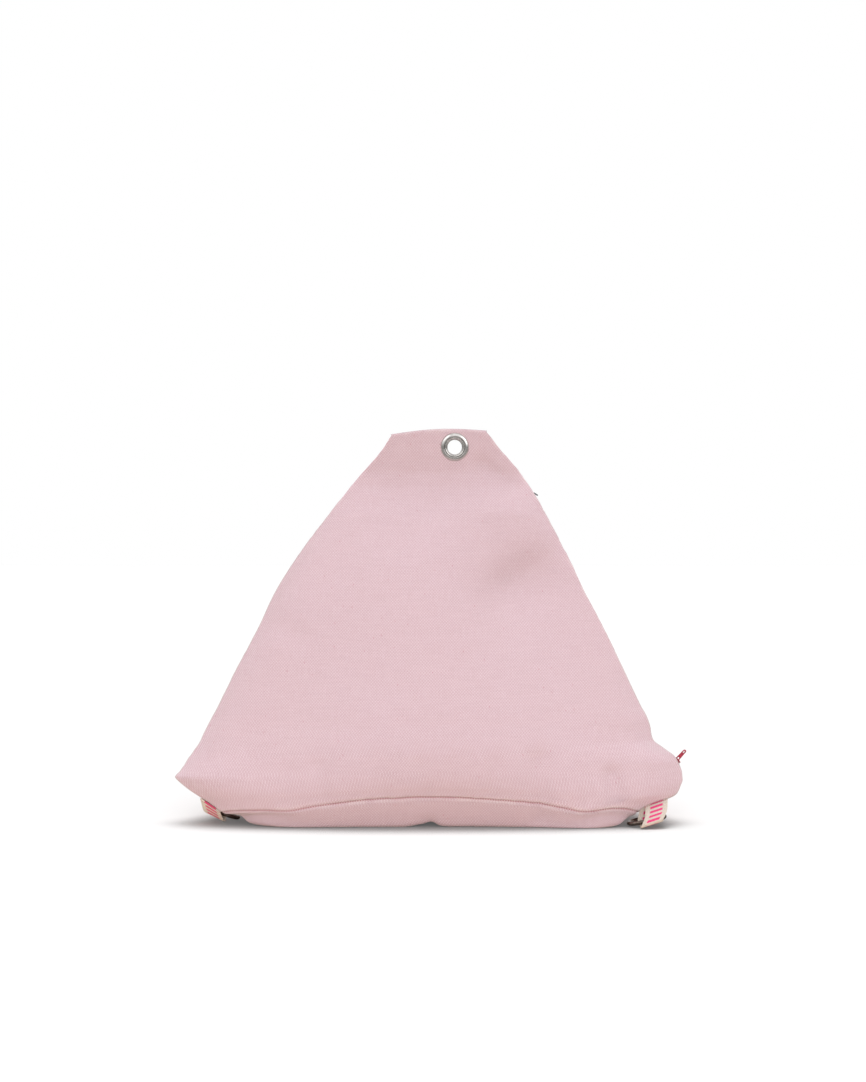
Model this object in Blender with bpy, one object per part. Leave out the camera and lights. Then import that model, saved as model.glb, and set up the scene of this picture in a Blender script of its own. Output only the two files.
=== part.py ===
"""A pyramid pouf: four triangular canvas faces with their corners cut off, sewn into a filled cushion.

Metres, +Z up. The front face looks along -Y. The origin is the centre of the pouf's footprint box, on the
floor. The upright faces meet in a left, a right and a back seam, and the flat top corner carries an eyelet.
"""

import math
from bisect import bisect_right
from collections import namedtuple

import bpy
import bmesh
from mathutils import Matrix, Vector

GAP = 0.0003

# The whole pouf is described in a working frame and shifted by this much, which centres it on the origin.
CENTRE = Vector((0.0016, -0.0117, 0.0))

# Heights of the main places on the cover.
FRONT_SEAM_HEIGHT = 0.0140
SEAM_GROOVE = 0.0016
TAB_FOOT_HEIGHT = 0.3860
TAB_TOP_HEIGHT = 0.4280
TAB_TOP_RISE = 0.0036
TAB_TOP_SLANT = 0.0032
TAB_THICKNESS = 0.0050

# The sewn edge at one height: where it stands and how thick it is there. Its low part is the flattened end
# where the corner was cut off.
SideSeam = namedtuple("SideSeam", "height x y thickness")

LEFT_SEAM = [
    SideSeam(0.0000, -0.1813, -0.198, 0.0030),
    SideSeam(0.0011, -0.1890, -0.197, 0.0030),
    SideSeam(0.0037, -0.1969, -0.196, 0.0030),
    SideSeam(0.0075, -0.2015, -0.195, 0.0030),
    SideSeam(0.0108, -0.2060, -0.194, 0.0036),
    SideSeam(0.0132, -0.2245, -0.193, 0.0040),
    SideSeam(0.0179, -0.2313, -0.192, 0.0040),
    SideSeam(0.0260, -0.2434, -0.190, 0.0040),
    SideSeam(0.0303, -0.2504, -0.189, 0.0040),
    SideSeam(0.0383, -0.2629, -0.187, 0.0040),
    SideSeam(0.0437, -0.2701, -0.185, 0.0040),
    SideSeam(0.0519, -0.2783, -0.182, 0.0036),
    SideSeam(0.0556, -0.2742, -0.181, 0.0032),
    SideSeam(0.0600, -0.2715, -0.179, 0.0030),
    SideSeam(0.0726, -0.2631, -0.172, 0.0030),
    SideSeam(0.0860, -0.2538, -0.166, 0.0030),
    SideSeam(0.1020, -0.2462, -0.159, 0.0030),
    SideSeam(0.1274, -0.2329, -0.149, 0.0030),
    SideSeam(0.1616, -0.2162, -0.136, 0.0030),
    SideSeam(0.2136, -0.1898, -0.116, 0.0030),
    SideSeam(0.2486, -0.1739, -0.102, 0.0030),
    SideSeam(0.2839, -0.1521, -0.089, 0.0030),
    SideSeam(0.3196, -0.1268, -0.075, 0.0030),
    SideSeam(0.3555, -0.0990, -0.061, 0.0030),
    SideSeam(0.3728, -0.0850, -0.052, 0.0040),
    SideSeam(0.3850, -0.0740, -0.048, 0.0050),
    SideSeam(0.4100, -0.0538, -0.048, 0.0050),
    SideSeam(0.4275, -0.0458, -0.048, 0.0050),
]

RIGHT_SEAM = [
    SideSeam(0.0000, 0.1960, -0.206, 0.0030),
    SideSeam(0.0021, 0.2050, -0.204, 0.0030),
    SideSeam(0.0059, 0.2105, -0.202, 0.0030),
    SideSeam(0.0092, 0.2152, -0.200, 0.0030),
    SideSeam(0.0117, 0.2204, -0.200, 0.0036),
    SideSeam(0.0160, 0.2277, -0.200, 0.0040),
    SideSeam(0.0200, 0.2335, -0.199, 0.0040),
    SideSeam(0.0240, 0.2450, -0.196, 0.0040),
    SideSeam(0.0278, 0.2585, -0.192, 0.0040),
    SideSeam(0.0315, 0.2665, -0.189, 0.0040),
    SideSeam(0.0345, 0.2697, -0.187, 0.0040),
    SideSeam(0.0396, 0.2725, -0.185, 0.0040),
    SideSeam(0.0475, 0.2753, -0.181, 0.0040),
    SideSeam(0.0546, 0.2752, -0.178, 0.0038),
    SideSeam(0.0603, 0.2740, -0.176, 0.0034),
    SideSeam(0.0665, 0.2714, -0.175, 0.0030),
    SideSeam(0.0725, 0.2682, -0.172, 0.0030),
    SideSeam(0.0761, 0.2635, -0.171, 0.0030),
    SideSeam(0.0800, 0.2578, -0.169, 0.0030),
    SideSeam(0.0837, 0.2526, -0.167, 0.0030),
    SideSeam(0.0870, 0.2478, -0.165, 0.0030),
    SideSeam(0.0900, 0.2450, -0.164, 0.0030),
    SideSeam(0.0936, 0.2437, -0.163, 0.0030),
    SideSeam(0.1010, 0.2428, -0.159, 0.0030),
    SideSeam(0.1104, 0.2405, -0.156, 0.0030),
    SideSeam(0.1274, 0.2318, -0.149, 0.0030),
    SideSeam(0.1616, 0.2162, -0.136, 0.0030),
    SideSeam(0.2136, 0.1919, -0.116, 0.0030),
    SideSeam(0.2486, 0.1737, -0.102, 0.0030),
    SideSeam(0.2839, 0.1576, -0.089, 0.0030),
    SideSeam(0.3196, 0.1391, -0.075, 0.0030),
    SideSeam(0.3555, 0.1204, -0.061, 0.0030),
    SideSeam(0.3728, 0.1090, -0.052, 0.0040),
    SideSeam(0.3850, 0.1000, -0.048, 0.0050),
    SideSeam(0.4100, 0.0775, -0.048, 0.0050),
    SideSeam(0.4275, 0.0640, -0.048, 0.0050),
]

# The back edge at one height: where it stands and half the width over which it is flat.
BackSeam = namedtuple("BackSeam", "height x y half_width")

BACK_SEAM = [
    BackSeam(0.0000, 0.000, 0.1500, 0.0400),
    BackSeam(0.0085, 0.000, 0.1760, 0.0470),
    BackSeam(0.0110, 0.000, 0.1920, 0.0500),
    BackSeam(0.0140, 0.000, 0.2060, 0.0515),
    BackSeam(0.0180, 0.000, 0.2060, 0.0515),
    BackSeam(0.0225, 0.000, 0.1920, 0.0490),
    BackSeam(0.0275, 0.000, 0.1870, 0.0440),
    BackSeam(0.0450, 0.000, 0.1820, 0.0300),
    BackSeam(0.0700, 0.000, 0.1750, 0.0160),
    BackSeam(0.1050, 0.000, 0.1630, 0.0080),
    BackSeam(0.1500, 0.000, 0.1440, 0.0040),
    BackSeam(0.2000, 0.001, 0.1180, 0.0030),
    BackSeam(0.2500, 0.003, 0.0860, 0.0030),
    BackSeam(0.3000, 0.005, 0.0460, 0.0040),
    BackSeam(0.3380, 0.007, 0.0080, 0.0080),
    BackSeam(0.3640, 0.010, -0.0210, 0.0240),
    BackSeam(0.3760, 0.012, -0.0370, 0.0400),
    BackSeam(0.3850, 0.013, -0.0455, 0.0560),
    BackSeam(0.4275, 0.009, -0.0455, 0.0460),
]

# The filled shape under the sewn edges at one height: where its left, right and back corners would stand if
# no end were flattened, and the angles in the level section at which the front, side and back cloth leave them.
Filling = namedtuple(
    "Filling", "height left_x right_x side_y back_y back_half_width front_angle side_angle back_angle"
)

FILLING = [
    Filling(0.0000, -0.1813, 0.1960, -0.2070, 0.1500, 0.0400, -1.8, 60, 50),
    Filling(0.0140, -0.2120, 0.2215, -0.2165, 0.1720, 0.0400, 0.8, 64, 48),
    Filling(0.0300, -0.2360, 0.2420, -0.2120, 0.1770, 0.0340, 4.1, 68, 46),
    Filling(0.0450, -0.2490, 0.2520, -0.2020, 0.1780, 0.0270, 8.3, 71, 45),
    Filling(0.0600, -0.2535, 0.2555, -0.1900, 0.1760, 0.0200, 12.2, 73, 43),
    Filling(0.0750, -0.2530, 0.2535, -0.1785, 0.1725, 0.0140, 15.5, 75, 42),
    Filling(0.0900, -0.2495, 0.2490, -0.1685, 0.1680, 0.0100, 17.6, 76, 40),
    Filling(0.1050, -0.2440, 0.2425, -0.1590, 0.1630, 0.0075, 19, 77, 39),
    Filling(0.1274, -0.2329, 0.2318, -0.1490, 0.1540, 0.0052, 19, 78, 38),
    Filling(0.1616, -0.2162, 0.2162, -0.1360, 0.1385, 0.0037, 19, 79, 36),
    Filling(0.2136, -0.1898, 0.1919, -0.1160, 0.1100, 0.0030, 19, 80, 35),
    Filling(0.2486, -0.1739, 0.1737, -0.1020, 0.0870, 0.0030, 17, 80, 34),
    Filling(0.2839, -0.1521, 0.1576, -0.0890, 0.0600, 0.0036, 14, 78, 33),
    Filling(0.3196, -0.1268, 0.1391, -0.0750, 0.0280, 0.0060, 9, 68, 30),
    Filling(0.3555, -0.0990, 0.1204, -0.0610, -0.0110, 0.0180, 4, 44, 22),
    Filling(0.3728, -0.0850, 0.1090, -0.0520, -0.0330, 0.0360, 3, 22, 11),
    Filling(0.3850, -0.0740, 0.1000, -0.0480, -0.0455, 0.0560, 0, 0, 0),
    Filling(0.4275, -0.0458, 0.0640, -0.0480, -0.0455, 0.0460, 0, 0, 0),
]

# How much higher than its left end the front seam runs, at shares of the way from its left to its right end.
SeamRise = namedtuple("SeamRise", "share rise")

FRONT_SEAM = [
    SeamRise(0.000, 0.0000),
    SeamRise(0.093, 0.0022),
    SeamRise(0.196, 0.0044),
    SeamRise(0.236, 0.0042),
    SeamRise(0.300, 0.0104),
    SeamRise(0.409, 0.0182),
    SeamRise(0.500, 0.0200),
    SeamRise(0.576, 0.0182),
    SeamRise(0.665, 0.0139),
    SeamRise(0.715, 0.0094),
    SeamRise(0.771, 0.0038),
    SeamRise(0.842, 0.0063),
    SeamRise(1.000, 0.0020),
]

# Soft hollows in the front face: the two ends of each, how deep it is and how far it spreads.
Hollow = namedtuple("Hollow", "x0 z0 x1 z1 depth spread")

FRONT_HOLLOWS = [
    Hollow(0.128, 0.306, 0.062, 0.260, 0.0060, 0.020),
    Hollow(0.078, 0.262, 0.122, 0.252, 0.0080, 0.028),
    Hollow(0.088, 0.366, 0.056, 0.354, 0.0040, 0.011),
    Hollow(-0.078, 0.358, -0.104, 0.330, 0.0030, 0.012),
    Hollow(-0.186, 0.222, -0.150, 0.208, 0.0030, 0.017),
    Hollow(0.118, 0.072, 0.124, 0.012, 0.0035, 0.011),
    Hollow(0.196, 0.052, 0.206, 0.018, 0.0040, 0.012),
    Hollow(-0.046, 0.000, 0.002, 0.000, 0.0100, 0.015),
    Hollow(0.002, 0.000, 0.004, 0.004, 0.0120, 0.009),
]

# How far the bottom seams of the two side faces rise midway, and how sharply they rise there.
SIDE_SEAM_RISE = 0.0170
SIDE_SEAM_POWER = 1.5

# Heights of the rows of points up the filled body, and up the flat tab above it.
BODY_ROWS = [
    0.0000, 0.0040, 0.0085, 0.0110, FRONT_SEAM_HEIGHT, 0.0180, 0.0225, 0.0275, 0.0330, 0.0383, 0.0452, 0.0519,
    0.0556, 0.0610, 0.0665, 0.0725, 0.0800, 0.0865, 0.0936, 0.1020, 0.1110, 0.1274, 0.1450, 0.1650, 0.1880,
    0.2120, 0.2360, 0.2600, 0.2820, 0.3030, 0.3220, 0.3390, 0.3540, 0.3660, 0.3760, TAB_FOOT_HEIGHT - GAP,
]
TAB_ROWS = [TAB_FOOT_HEIGHT, 0.3950, 0.4060, 0.4160, 0.4230, TAB_TOP_HEIGHT]

# Steps round each face in a level section. HANDLE sets how full a face bulges between its corners,
# END_CROWDING how much closer the steps are towards them, END_REACH how far from a sewn edge the cloth is drawn
# to it, and RISE_FADE how far above a curved bottom seam its curve can be felt.
FRONT_STEPS = 32
SIDE_STEPS = 20
BACK_STEPS = 4
HANDLE = 0.45
END_CROWDING = 0.45
END_REACH = 0.050
RISE_FADE = 0.035

# Eyelet and washer.
EYELET_X = 0.0281
EYELET_Z = 0.4112
EYELET_STEPS = 28
HOLE_RADIUS = 0.0082
BARREL_RADIUS = 0.0089
FLANGE_RADIUS = 0.0160
TAB_FACE = TAB_THICKNESS / 2
WASHER_INNER = BARREL_RADIUS + GAP
WASHER_OUTER = 0.0148
WASHER_THICKNESS = 0.0008
WASHER_BEVEL = 0.0004
TAB_HOLE_RADIUS = BARREL_RADIUS + GAP

# The dished flange: how far each point lies inside the flange's rim and in front of its seat.
FlangePoint = namedtuple("FlangePoint", "inset rise")

FLANGE_POINTS = [
    FlangePoint(0.0000, 0.0000),
    FlangePoint(0.0004, 0.0012),
    FlangePoint(0.0014, 0.0022),
    FlangePoint(0.0028, 0.0026),
    FlangePoint(0.0042, 0.0022),
    FlangePoint(0.0056, 0.0012),
    FlangePoint(0.0072, 0.0000),
    FlangePoint(0.0078, -0.0022),
]

# The rolled lip: how far each point lies outside the hole and behind the washer.
LipPoint = namedtuple("LipPoint", "outset drop")

LIP_POINTS = [
    LipPoint(0.0000, -0.0002),
    LipPoint(0.0005, 0.0007),
    LipPoint(0.0016, 0.0011),
    LipPoint(0.0028, 0.0007),
    LipPoint(0.0030, 0.0000),
]

# Webbing loops. A row is a point on the middle of the webbing, as distances behind and above the place on the
# cut edge where it is sewn in, and share says how far the loop has turned to its lower direction there.
WEBBING_WIDTH = 0.0265
WEBBING_LOW_WIDTH = 0.0230
WEBBING_THICKNESS = 0.0014
LOOP_STEPS = 4
LoopPoint = namedtuple("LoopPoint", "back up share")

LEFT_LOOP = [
    LoopPoint(-0.0009, 0.0000, 0.0),
    LoopPoint(0.0030, -0.0046, 0.2),
    LoopPoint(0.0105, -0.0098, 0.5),
    LoopPoint(0.0185, -0.0138, 0.9),
    LoopPoint(0.0245, -0.0148, 1.0),
    LoopPoint(0.0280, -0.0118, 1.0),
    LoopPoint(0.0262, -0.0066, 0.9),
    LoopPoint(0.0185, -0.0026, 0.6),
    LoopPoint(0.0085, -0.0008, 0.2),
    LoopPoint(0.0009, 0.0000, 0.0),
]

RIGHT_LOOP = [
    LoopPoint(-0.0009, 0.0000, 0.0),
    LoopPoint(-0.0080, -0.0050, 0.3),
    LoopPoint(-0.0160, -0.0105, 0.6),
    LoopPoint(-0.0225, -0.0158, 0.9),
    LoopPoint(-0.0244, -0.0190, 1.0),
    LoopPoint(-0.0205, -0.0210, 1.0),
    LoopPoint(-0.0110, -0.0200, 0.95),
    LoopPoint(-0.0036, -0.0145, 0.7),
    LoopPoint(0.0000, -0.0066, 0.35),
    LoopPoint(0.0009, 0.0000, 0.0),
]

# Where a loop is sewn in, how far its bend is moved from under that place, and which way its width runs at
# the edge and at the bend.
LoopSeat = namedtuple("LoopSeat", "sewn low_shift across_top across_low")

LEFT_LOOP_SEAT = LoopSeat(
    Vector((-0.2378, -0.1905, 0.0207)),
    Vector((0.0042, 0.0000, 0.0000)),
    Vector((0.0226, -0.0020, -0.0152)),
    Vector((0.0240, -0.0020, -0.0088)),
)
RIGHT_LOOP_SEAT = LoopSeat(
    Vector((0.2458, -0.1965, 0.0232)),
    Vector((-0.0088, 0.0000, 0.0005)),
    Vector((0.0254, 0.0060, 0.0078)),
    Vector((0.0260, 0.0030, 0.0040)),
)

# Plain oval metal rings that lie in the loops.
RingSeat = namedtuple("RingSeat", "centre long_axis")

LEFT_RING_SEAT = RingSeat(Vector((-0.2296, -0.1604, 0.0103)), Vector((-1.0, 0.0, 0.36)))
RIGHT_RING_SEAT = RingSeat(Vector((0.2351, -0.1993, 0.0068)), Vector((1.0, 0.0, 0.20)))
RING_WIRE = 0.0046
RING_LENGTH = 0.0440
RING_WIDTH = 0.0280
RING_SIDES = 8
RING_ARC_STEPS = 8

# Zip parts on the right seam.
SLIDER_HEIGHT = 0.0672
SLIDER_LENGTH = 0.0090
SLIDER_WIDTH = 0.0056
SLIDER_TIP_WIDTH = 0.0044
SLIDER_THICKNESS = 0.0024
SLIDER_SET_BACK = 0.0034
SLIDER_LIFT = 0.0004
PULL_FOOT = Vector((0.2712, -0.1752, 0.0685))
PULL_WAY = Vector((0.66, -0.10, 0.75))
PULL_FACING = Vector((-0.25, -0.9, 0.1))
PULL_LENGTH = 0.0148
PULL_FOOT_WIDTH = 0.0044
PULL_TIP_WIDTH = 0.0036
PULL_THICKNESS = 0.0012
STOP_HEIGHT = 0.3560
STOP_OFFSET = Vector((0.0006, 0.0012, 0.0010))
STOP_REACH = Vector((0.0032, 0.0004, -0.0022))
STOP_FACING = Vector((0.0, 1.0, 0.0))
STOP_WIDTH = 0.0016
STOP_THICKNESS = 0.0012
BAR_END_STEPS = 6


def interpolate(table, field, place):
    """A monotone cubic through one column of a table, against its first column."""
    places = [row[0] for row in table]
    values = [getattr(row, field) for row in table]
    if place <= places[0]:
        return values[0]
    if place >= places[-1]:
        return values[-1]
    i = bisect_right(places, place) - 1

    def slope_of(k):
        return (values[k + 1] - values[k]) / (places[k + 1] - places[k])

    def tangent_at(k):
        if k == 0:
            return slope_of(0)
        if k == len(values) - 1:
            return slope_of(k - 1)
        before, after = slope_of(k - 1), slope_of(k)
        if before * after <= 0:
            return 0.0
        return 2 * before * after / (before + after)

    step = places[i + 1] - places[i]
    t = (place - places[i]) / step
    return (
        values[i] * (1 + 2 * t) * (1 - t) ** 2
        + tangent_at(i) * step * t * (1 - t) ** 2
        + values[i + 1] * t * t * (3 - 2 * t)
        + tangent_at(i + 1) * step * t * t * (t - 1)
    )


def seam_at(table, height):
    """Every column of a table at one height."""
    return type(table[0])(height, *(interpolate(table, name, height) for name in table[0]._fields[1:]))


def panel(edges, corners, ways, steps):
    """One cloth panel's level section between two sewn edges. It follows the filled shape, whose corners and
    the ways in which the cloth leaves them are given, and is drawn to the sewn edges at its ends."""
    length = (corners[1] - corners[0]).length
    first, second = (corner + way * (HANDLE * length) for corner, way in zip(corners, ways))
    points = []
    for i in range(steps + 1):
        share = i / steps
        t = share - END_CROWDING * math.sin(2 * math.pi * share) / (2 * math.pi)
        r = 1 - t
        p = corners[0] * r**3 + first * (3 * r * r * t) + second * (3 * r * t * t) + corners[1] * t**3
        for edge, corner, distance in zip(edges, corners, (t * length, r * length)):
            p += (edge - corner) * math.exp(-((distance / END_REACH) ** 2))
        points.append(p)
    points[0], points[-1] = edges[0].copy(), edges[1].copy()
    return points


def heading(degrees):
    """The level direction at an angle from +X."""
    return Vector((math.cos(math.radians(degrees)), math.sin(math.radians(degrees))))


def hollow_depth(x, z):
    """How far the front cloth is pressed in at a point of the front face."""
    total = 0.0
    for h in FRONT_HOLLOWS:
        along = Vector((h.x1 - h.x0, h.z1 - h.z0))
        offset = Vector((x - h.x0, z - h.z0))
        share = max(0.0, min(1.0, offset.dot(along) / along.length_squared))
        distance = (offset - along * share).length
        total += h.depth * math.exp(-((distance / h.spread) ** 2))
    return total


def seam_rise(rise, height):
    """How far a row at this height is lifted where the bottom seam is lifted by rise."""
    if height < FRONT_SEAM_HEIGHT:
        return rise * height / FRONT_SEAM_HEIGHT
    return rise * math.exp(-(height - FRONT_SEAM_HEIGHT) / RISE_FADE)


def level_section(height):
    """The outline of the pouf at one height, from the left seam along the front and round the back."""
    left, right, back = seam_at(LEFT_SEAM, height), seam_at(RIGHT_SEAM, height), seam_at(BACK_SEAM, height)
    fill = seam_at(FILLING, height)
    left_corner = Vector((fill.left_x, fill.side_y))
    right_corner = Vector((fill.right_x, fill.side_y))
    half_left = Vector((0, left.thickness / 2))
    half_right = Vector((0, right.thickness / 2))
    left_edge = Vector((left.x, left.y))
    right_edge = Vector((right.x, right.y))
    back_right = Vector((back.x + back.half_width, back.y))
    back_left = Vector((back.x - back.half_width, back.y))
    back_right_corner = Vector((back.x + fill.back_half_width, fill.back_y))
    back_left_corner = Vector((back.x - fill.back_half_width, fill.back_y))
    front = panel(
        (left_edge - half_left, right_edge - half_right),
        (left_corner - half_left, right_corner - half_right),
        (heading(-fill.front_angle), heading(180 + fill.front_angle)),
        FRONT_STEPS,
    )
    right_side = panel(
        (right_edge + half_right, back_right),
        (right_corner + half_right, back_right_corner),
        (heading(180 - fill.side_angle), heading(-fill.back_angle)),
        SIDE_STEPS,
    )
    left_side = panel(
        (back_left, left_edge + half_left),
        (back_left_corner, left_corner + half_left),
        (heading(180 + fill.back_angle), heading(fill.side_angle)),
        SIDE_STEPS,
    )
    grooved = height == FRONT_SEAM_HEIGHT
    points = []
    for i, p in enumerate(front):
        share = i / FRONT_STEPS
        z = height + seam_rise(interpolate(FRONT_SEAM, "rise", share), height)
        groove = SEAM_GROOVE if grooved and 0 < share < 1 else 0.0
        points.append(Vector((p.x, p.y + hollow_depth(p.x, z) + groove, z)))
    for side, outward in ((right_side, 1), (left_side, -1)):
        for i, p in enumerate(side):
            share = i / SIDE_STEPS
            lift = seam_rise(SIDE_SEAM_RISE * math.sin(math.pi * share) ** SIDE_SEAM_POWER, height)
            groove = SEAM_GROOVE if grooved and 0 < share < 1 else 0.0
            points.append(Vector((p.x - outward * groove, p.y, height + lift)))
        if side is right_side:
            for i in range(1, BACK_STEPS):
                p = back_right.lerp(back_left, i / BACK_STEPS)
                points.append(Vector((p.x, p.y, height)))
    return points


def tab_section(height):
    """The flat tab's outline at one height. Its top edge is a low arch."""
    points = level_section(height)
    width = points[FRONT_STEPS].x - points[0].x
    top = (height - TAB_FOOT_HEIGHT) / (TAB_TOP_HEIGHT - TAB_FOOT_HEIGHT)
    for p in points:
        share = max(0.0, min(1.0, (p.x - points[0].x) / width))
        p.z = height + top * (TAB_TOP_RISE * math.sin(math.pi * share) + TAB_TOP_SLANT * (share - 0.5))
    return points


def make_material(name, colour, roughness, metallic=0.0):
    material = bpy.data.materials.new(name)
    material.use_nodes = True
    shader = material.node_tree.nodes["Principled BSDF"]
    shader.inputs["Base Color"].default_value = (*colour, 1.0)
    shader.inputs["Roughness"].default_value = roughness
    shader.inputs["Metallic"].default_value = metallic
    material.diffuse_color = (*colour, 1.0)
    return material


def add_object(name, mesh_data, material, smooth_degrees=40):
    """One named piece of the pouf, in the finished frame."""
    mesh = bpy.data.meshes.new(name)
    bmesh.ops.recalc_face_normals(mesh_data, faces=mesh_data.faces)
    mesh_data.to_mesh(mesh)
    mesh_data.free()
    mesh.materials.append(material)
    mesh.shade_smooth()
    mesh.set_sharp_from_angle(angle=math.radians(smooth_degrees))
    piece = bpy.data.objects.new(name, mesh)
    piece.location = -CENTRE
    bpy.context.scene.collection.objects.link(piece)
    return piece


def loft(rings, closed=False):
    """A solid through rings of equal numbers of points, capped at both ends or closed on itself."""
    bm = bmesh.new()
    rows = [[bm.verts.new(p) for p in ring] for ring in rings]
    count = len(rings[0])
    pairs = list(zip(rows, rows[1:]))
    if closed:
        pairs.append((rows[-1], rows[0]))
    for low, high in pairs:
        for i in range(count):
            j = (i + 1) % count
            bm.faces.new((low[i], low[j], high[j], high[i]))
    if not closed:
        bm.faces.new(rows[0])
        bm.faces.new(rows[-1])
    return bm


def turned(profile, centre, steps):
    """A ring turned about an axis along Y. The profile holds radii and distances in front of the centre."""
    rings = []
    for i in range(steps):
        angle = 2 * math.pi * i / steps
        out = Vector((math.cos(angle), 0, math.sin(angle)))
        rings.append([centre + out * radius + Vector((0, -front, 0)) for radius, front in profile])
    return loft(rings, closed=True)


def make_body(canvas):
    return add_object("pouf_body", loft([level_section(h) for h in BODY_ROWS]), canvas, 60)


def make_tab(canvas):
    tab = add_object("top_tab", loft([tab_section(h) for h in TAB_ROWS]), canvas, 60)
    cutter_mesh = bmesh.new()
    bmesh.ops.create_cone(
        cutter_mesh,
        cap_ends=True,
        segments=EYELET_STEPS,
        radius1=TAB_HOLE_RADIUS,
        radius2=TAB_HOLE_RADIUS,
        depth=8 * TAB_THICKNESS,
        matrix=Matrix.Translation(eyelet_centre()) @ Matrix.Rotation(math.pi / 2, 4, "X"),
    )
    cutter = add_object("tab_hole_cutter", cutter_mesh, canvas)
    cutter.hide_render = True
    cutter.display_type = "WIRE"
    hole = tab.modifiers.new("hole", "BOOLEAN")
    hole.operation = "DIFFERENCE"
    hole.object = cutter
    return tab


def eyelet_centre():
    """The middle of the tab's thickness on the eyelet's axis."""
    return Vector((EYELET_X, interpolate(LEFT_SEAM, "y", EYELET_Z), EYELET_Z))


def make_eyelet(nickel):
    """The eyelet with its domed flange, barrel and rolled lip, and the washer that the lip holds."""
    face = TAB_FACE + GAP
    lip = TAB_FACE + GAP + WASHER_THICKNESS + GAP
    profile = [(FLANGE_RADIUS - p.inset, face + p.rise) for p in FLANGE_POINTS]
    profile += [(HOLE_RADIUS + p.outset, -lip - p.drop) for p in LIP_POINTS]
    profile += [(BARREL_RADIUS, -lip), (BARREL_RADIUS, face)]
    add_object("eyelet", turned(profile, eyelet_centre(), EYELET_STEPS), nickel)
    front = -TAB_FACE - GAP
    back = front - WASHER_THICKNESS
    middle = (front + back) / 2
    washer = [
        (WASHER_INNER, front),
        (WASHER_OUTER - WASHER_BEVEL, front),
        (WASHER_OUTER, middle),
        (WASHER_OUTER - WASHER_BEVEL, back),
        (WASHER_INNER, back),
    ]
    add_object("eyelet_washer", turned(washer, eyelet_centre(), EYELET_STEPS), nickel)


def along_table(rows, steps):
    """A smooth run of points through the rows of a table of numbers."""
    points = []
    last = len(rows) - 1
    for i in range(last):
        before, start, end, after = (Vector(rows[max(0, min(last, k))]) for k in (i - 1, i, i + 1, i + 2))
        for j in range(steps):
            t = j / steps
            points.append(
                start
                + (end - before) * (t / 2)
                + (before * 2 - start * 5 + end * 4 - after) * (t * t / 2)
                + (start * 3 - before - end * 3 + after) * (t**3 / 2)
            )
    points.append(Vector(rows[last]))
    return points


def make_loop(name, webbing, table, seat):
    """A loop of webbing that hangs from its seat on a cut edge."""
    path = along_table(table, LOOP_STEPS)
    rings = []
    for i, p in enumerate(path):
        ahead = path[min(i + 1, len(path) - 1)] - path[max(i - 1, 0)]
        out = Vector((-ahead.y, ahead.x)).normalized() * (WEBBING_THICKNESS / 2)
        share = max(0.0, min(1.0, p.z))
        width = WEBBING_WIDTH + (WEBBING_LOW_WIDTH - WEBBING_WIDTH) * share
        half = seat.across_top.lerp(seat.across_low, share).normalized() * (width / 2)
        middle = seat.sewn + seat.low_shift * share + Vector((0, p.x, p.y))
        out = Vector((0, out.x, out.y))
        rings.append([middle - half - out, middle + half - out, middle + half + out, middle - half + out])
    add_object(name, loft(rings), webbing, 30)


def make_ring(name, nickel, seat):
    """A closed oval ring of round wire with its short way level and pointing back."""
    wire = RING_WIRE / 2
    bend = (RING_WIDTH - RING_WIRE) / 2
    straight = (RING_LENGTH - RING_WIDTH) / 2
    along = seat.long_axis.normalized()
    across = Vector((0, 0, 1)).cross(along).normalized()
    up = along.cross(across)
    rings = []
    for end in (0, 1):
        for i in range(RING_ARC_STEPS + 1):
            angle = math.pi * (end + i / RING_ARC_STEPS) - math.pi / 2
            out = along * math.cos(angle) + across * math.sin(angle)
            middle = seat.centre + along * (straight * (1 - 2 * end)) + out * bend
            rings.append([])
            for k in range(RING_SIDES):
                turn = 2 * math.pi * k / RING_SIDES
                rings[-1].append(middle + out * (wire * math.cos(turn)) + up * (wire * math.sin(turn)))
    add_object(name, loft(rings, closed=True), nickel)


def make_bar(name, material, start, end, facing, start_width, end_width, thickness):
    """A flat tapered bar with rounded ends. facing is the way its broad side looks."""
    along = (end - start).normalized()
    facing = (facing - along * facing.dot(along)).normalized()
    across = along.cross(facing)
    outline = []
    for middle, width, first in ((end, end_width, -90), (start, start_width, 90)):
        radius = width / 2
        inner = middle - along * radius if middle is end else middle + along * radius
        for i in range(BAR_END_STEPS + 1):
            angle = math.radians(first + 180 * i / BAR_END_STEPS)
            outline.append(inner + along * (radius * math.cos(angle)) + across * (radius * math.sin(angle)))
    rings = [[p + facing * (thickness * side / 2) for p in outline] for side in (-1, 1)]
    add_object(name, loft(rings), material, 30)


def make_zip_parts(crimson, steel):
    """The slider and pull at the foot of the right seam, and the end stop near its top."""
    reach = SLIDER_LENGTH / 2
    along = (seam_point(SLIDER_HEIGHT + reach) - seam_point(SLIDER_HEIGHT - reach)).normalized()
    side = heading(180 - interpolate(FILLING, "side_angle", SLIDER_HEIGHT)).to_3d()
    out = side.cross(along).normalized()
    middle = seam_point(SLIDER_HEIGHT) + side * SLIDER_SET_BACK + out * (SLIDER_THICKNESS / 2 + SLIDER_LIFT)
    foot, tip = middle - along * reach, middle + along * reach
    make_bar("zip_slider", crimson, foot, tip, out, SLIDER_WIDTH, SLIDER_TIP_WIDTH, SLIDER_THICKNESS)
    pull_end = PULL_FOOT + PULL_WAY.normalized() * PULL_LENGTH
    make_bar(
        "zip_pull", crimson, PULL_FOOT, pull_end, PULL_FACING, PULL_FOOT_WIDTH, PULL_TIP_WIDTH, PULL_THICKNESS
    )
    stop_start = seam_point(STOP_HEIGHT) + STOP_OFFSET
    stop_end = stop_start + STOP_REACH
    make_bar("zip_stop", steel, stop_start, stop_end, STOP_FACING, STOP_WIDTH, STOP_WIDTH, STOP_THICKNESS)


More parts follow.
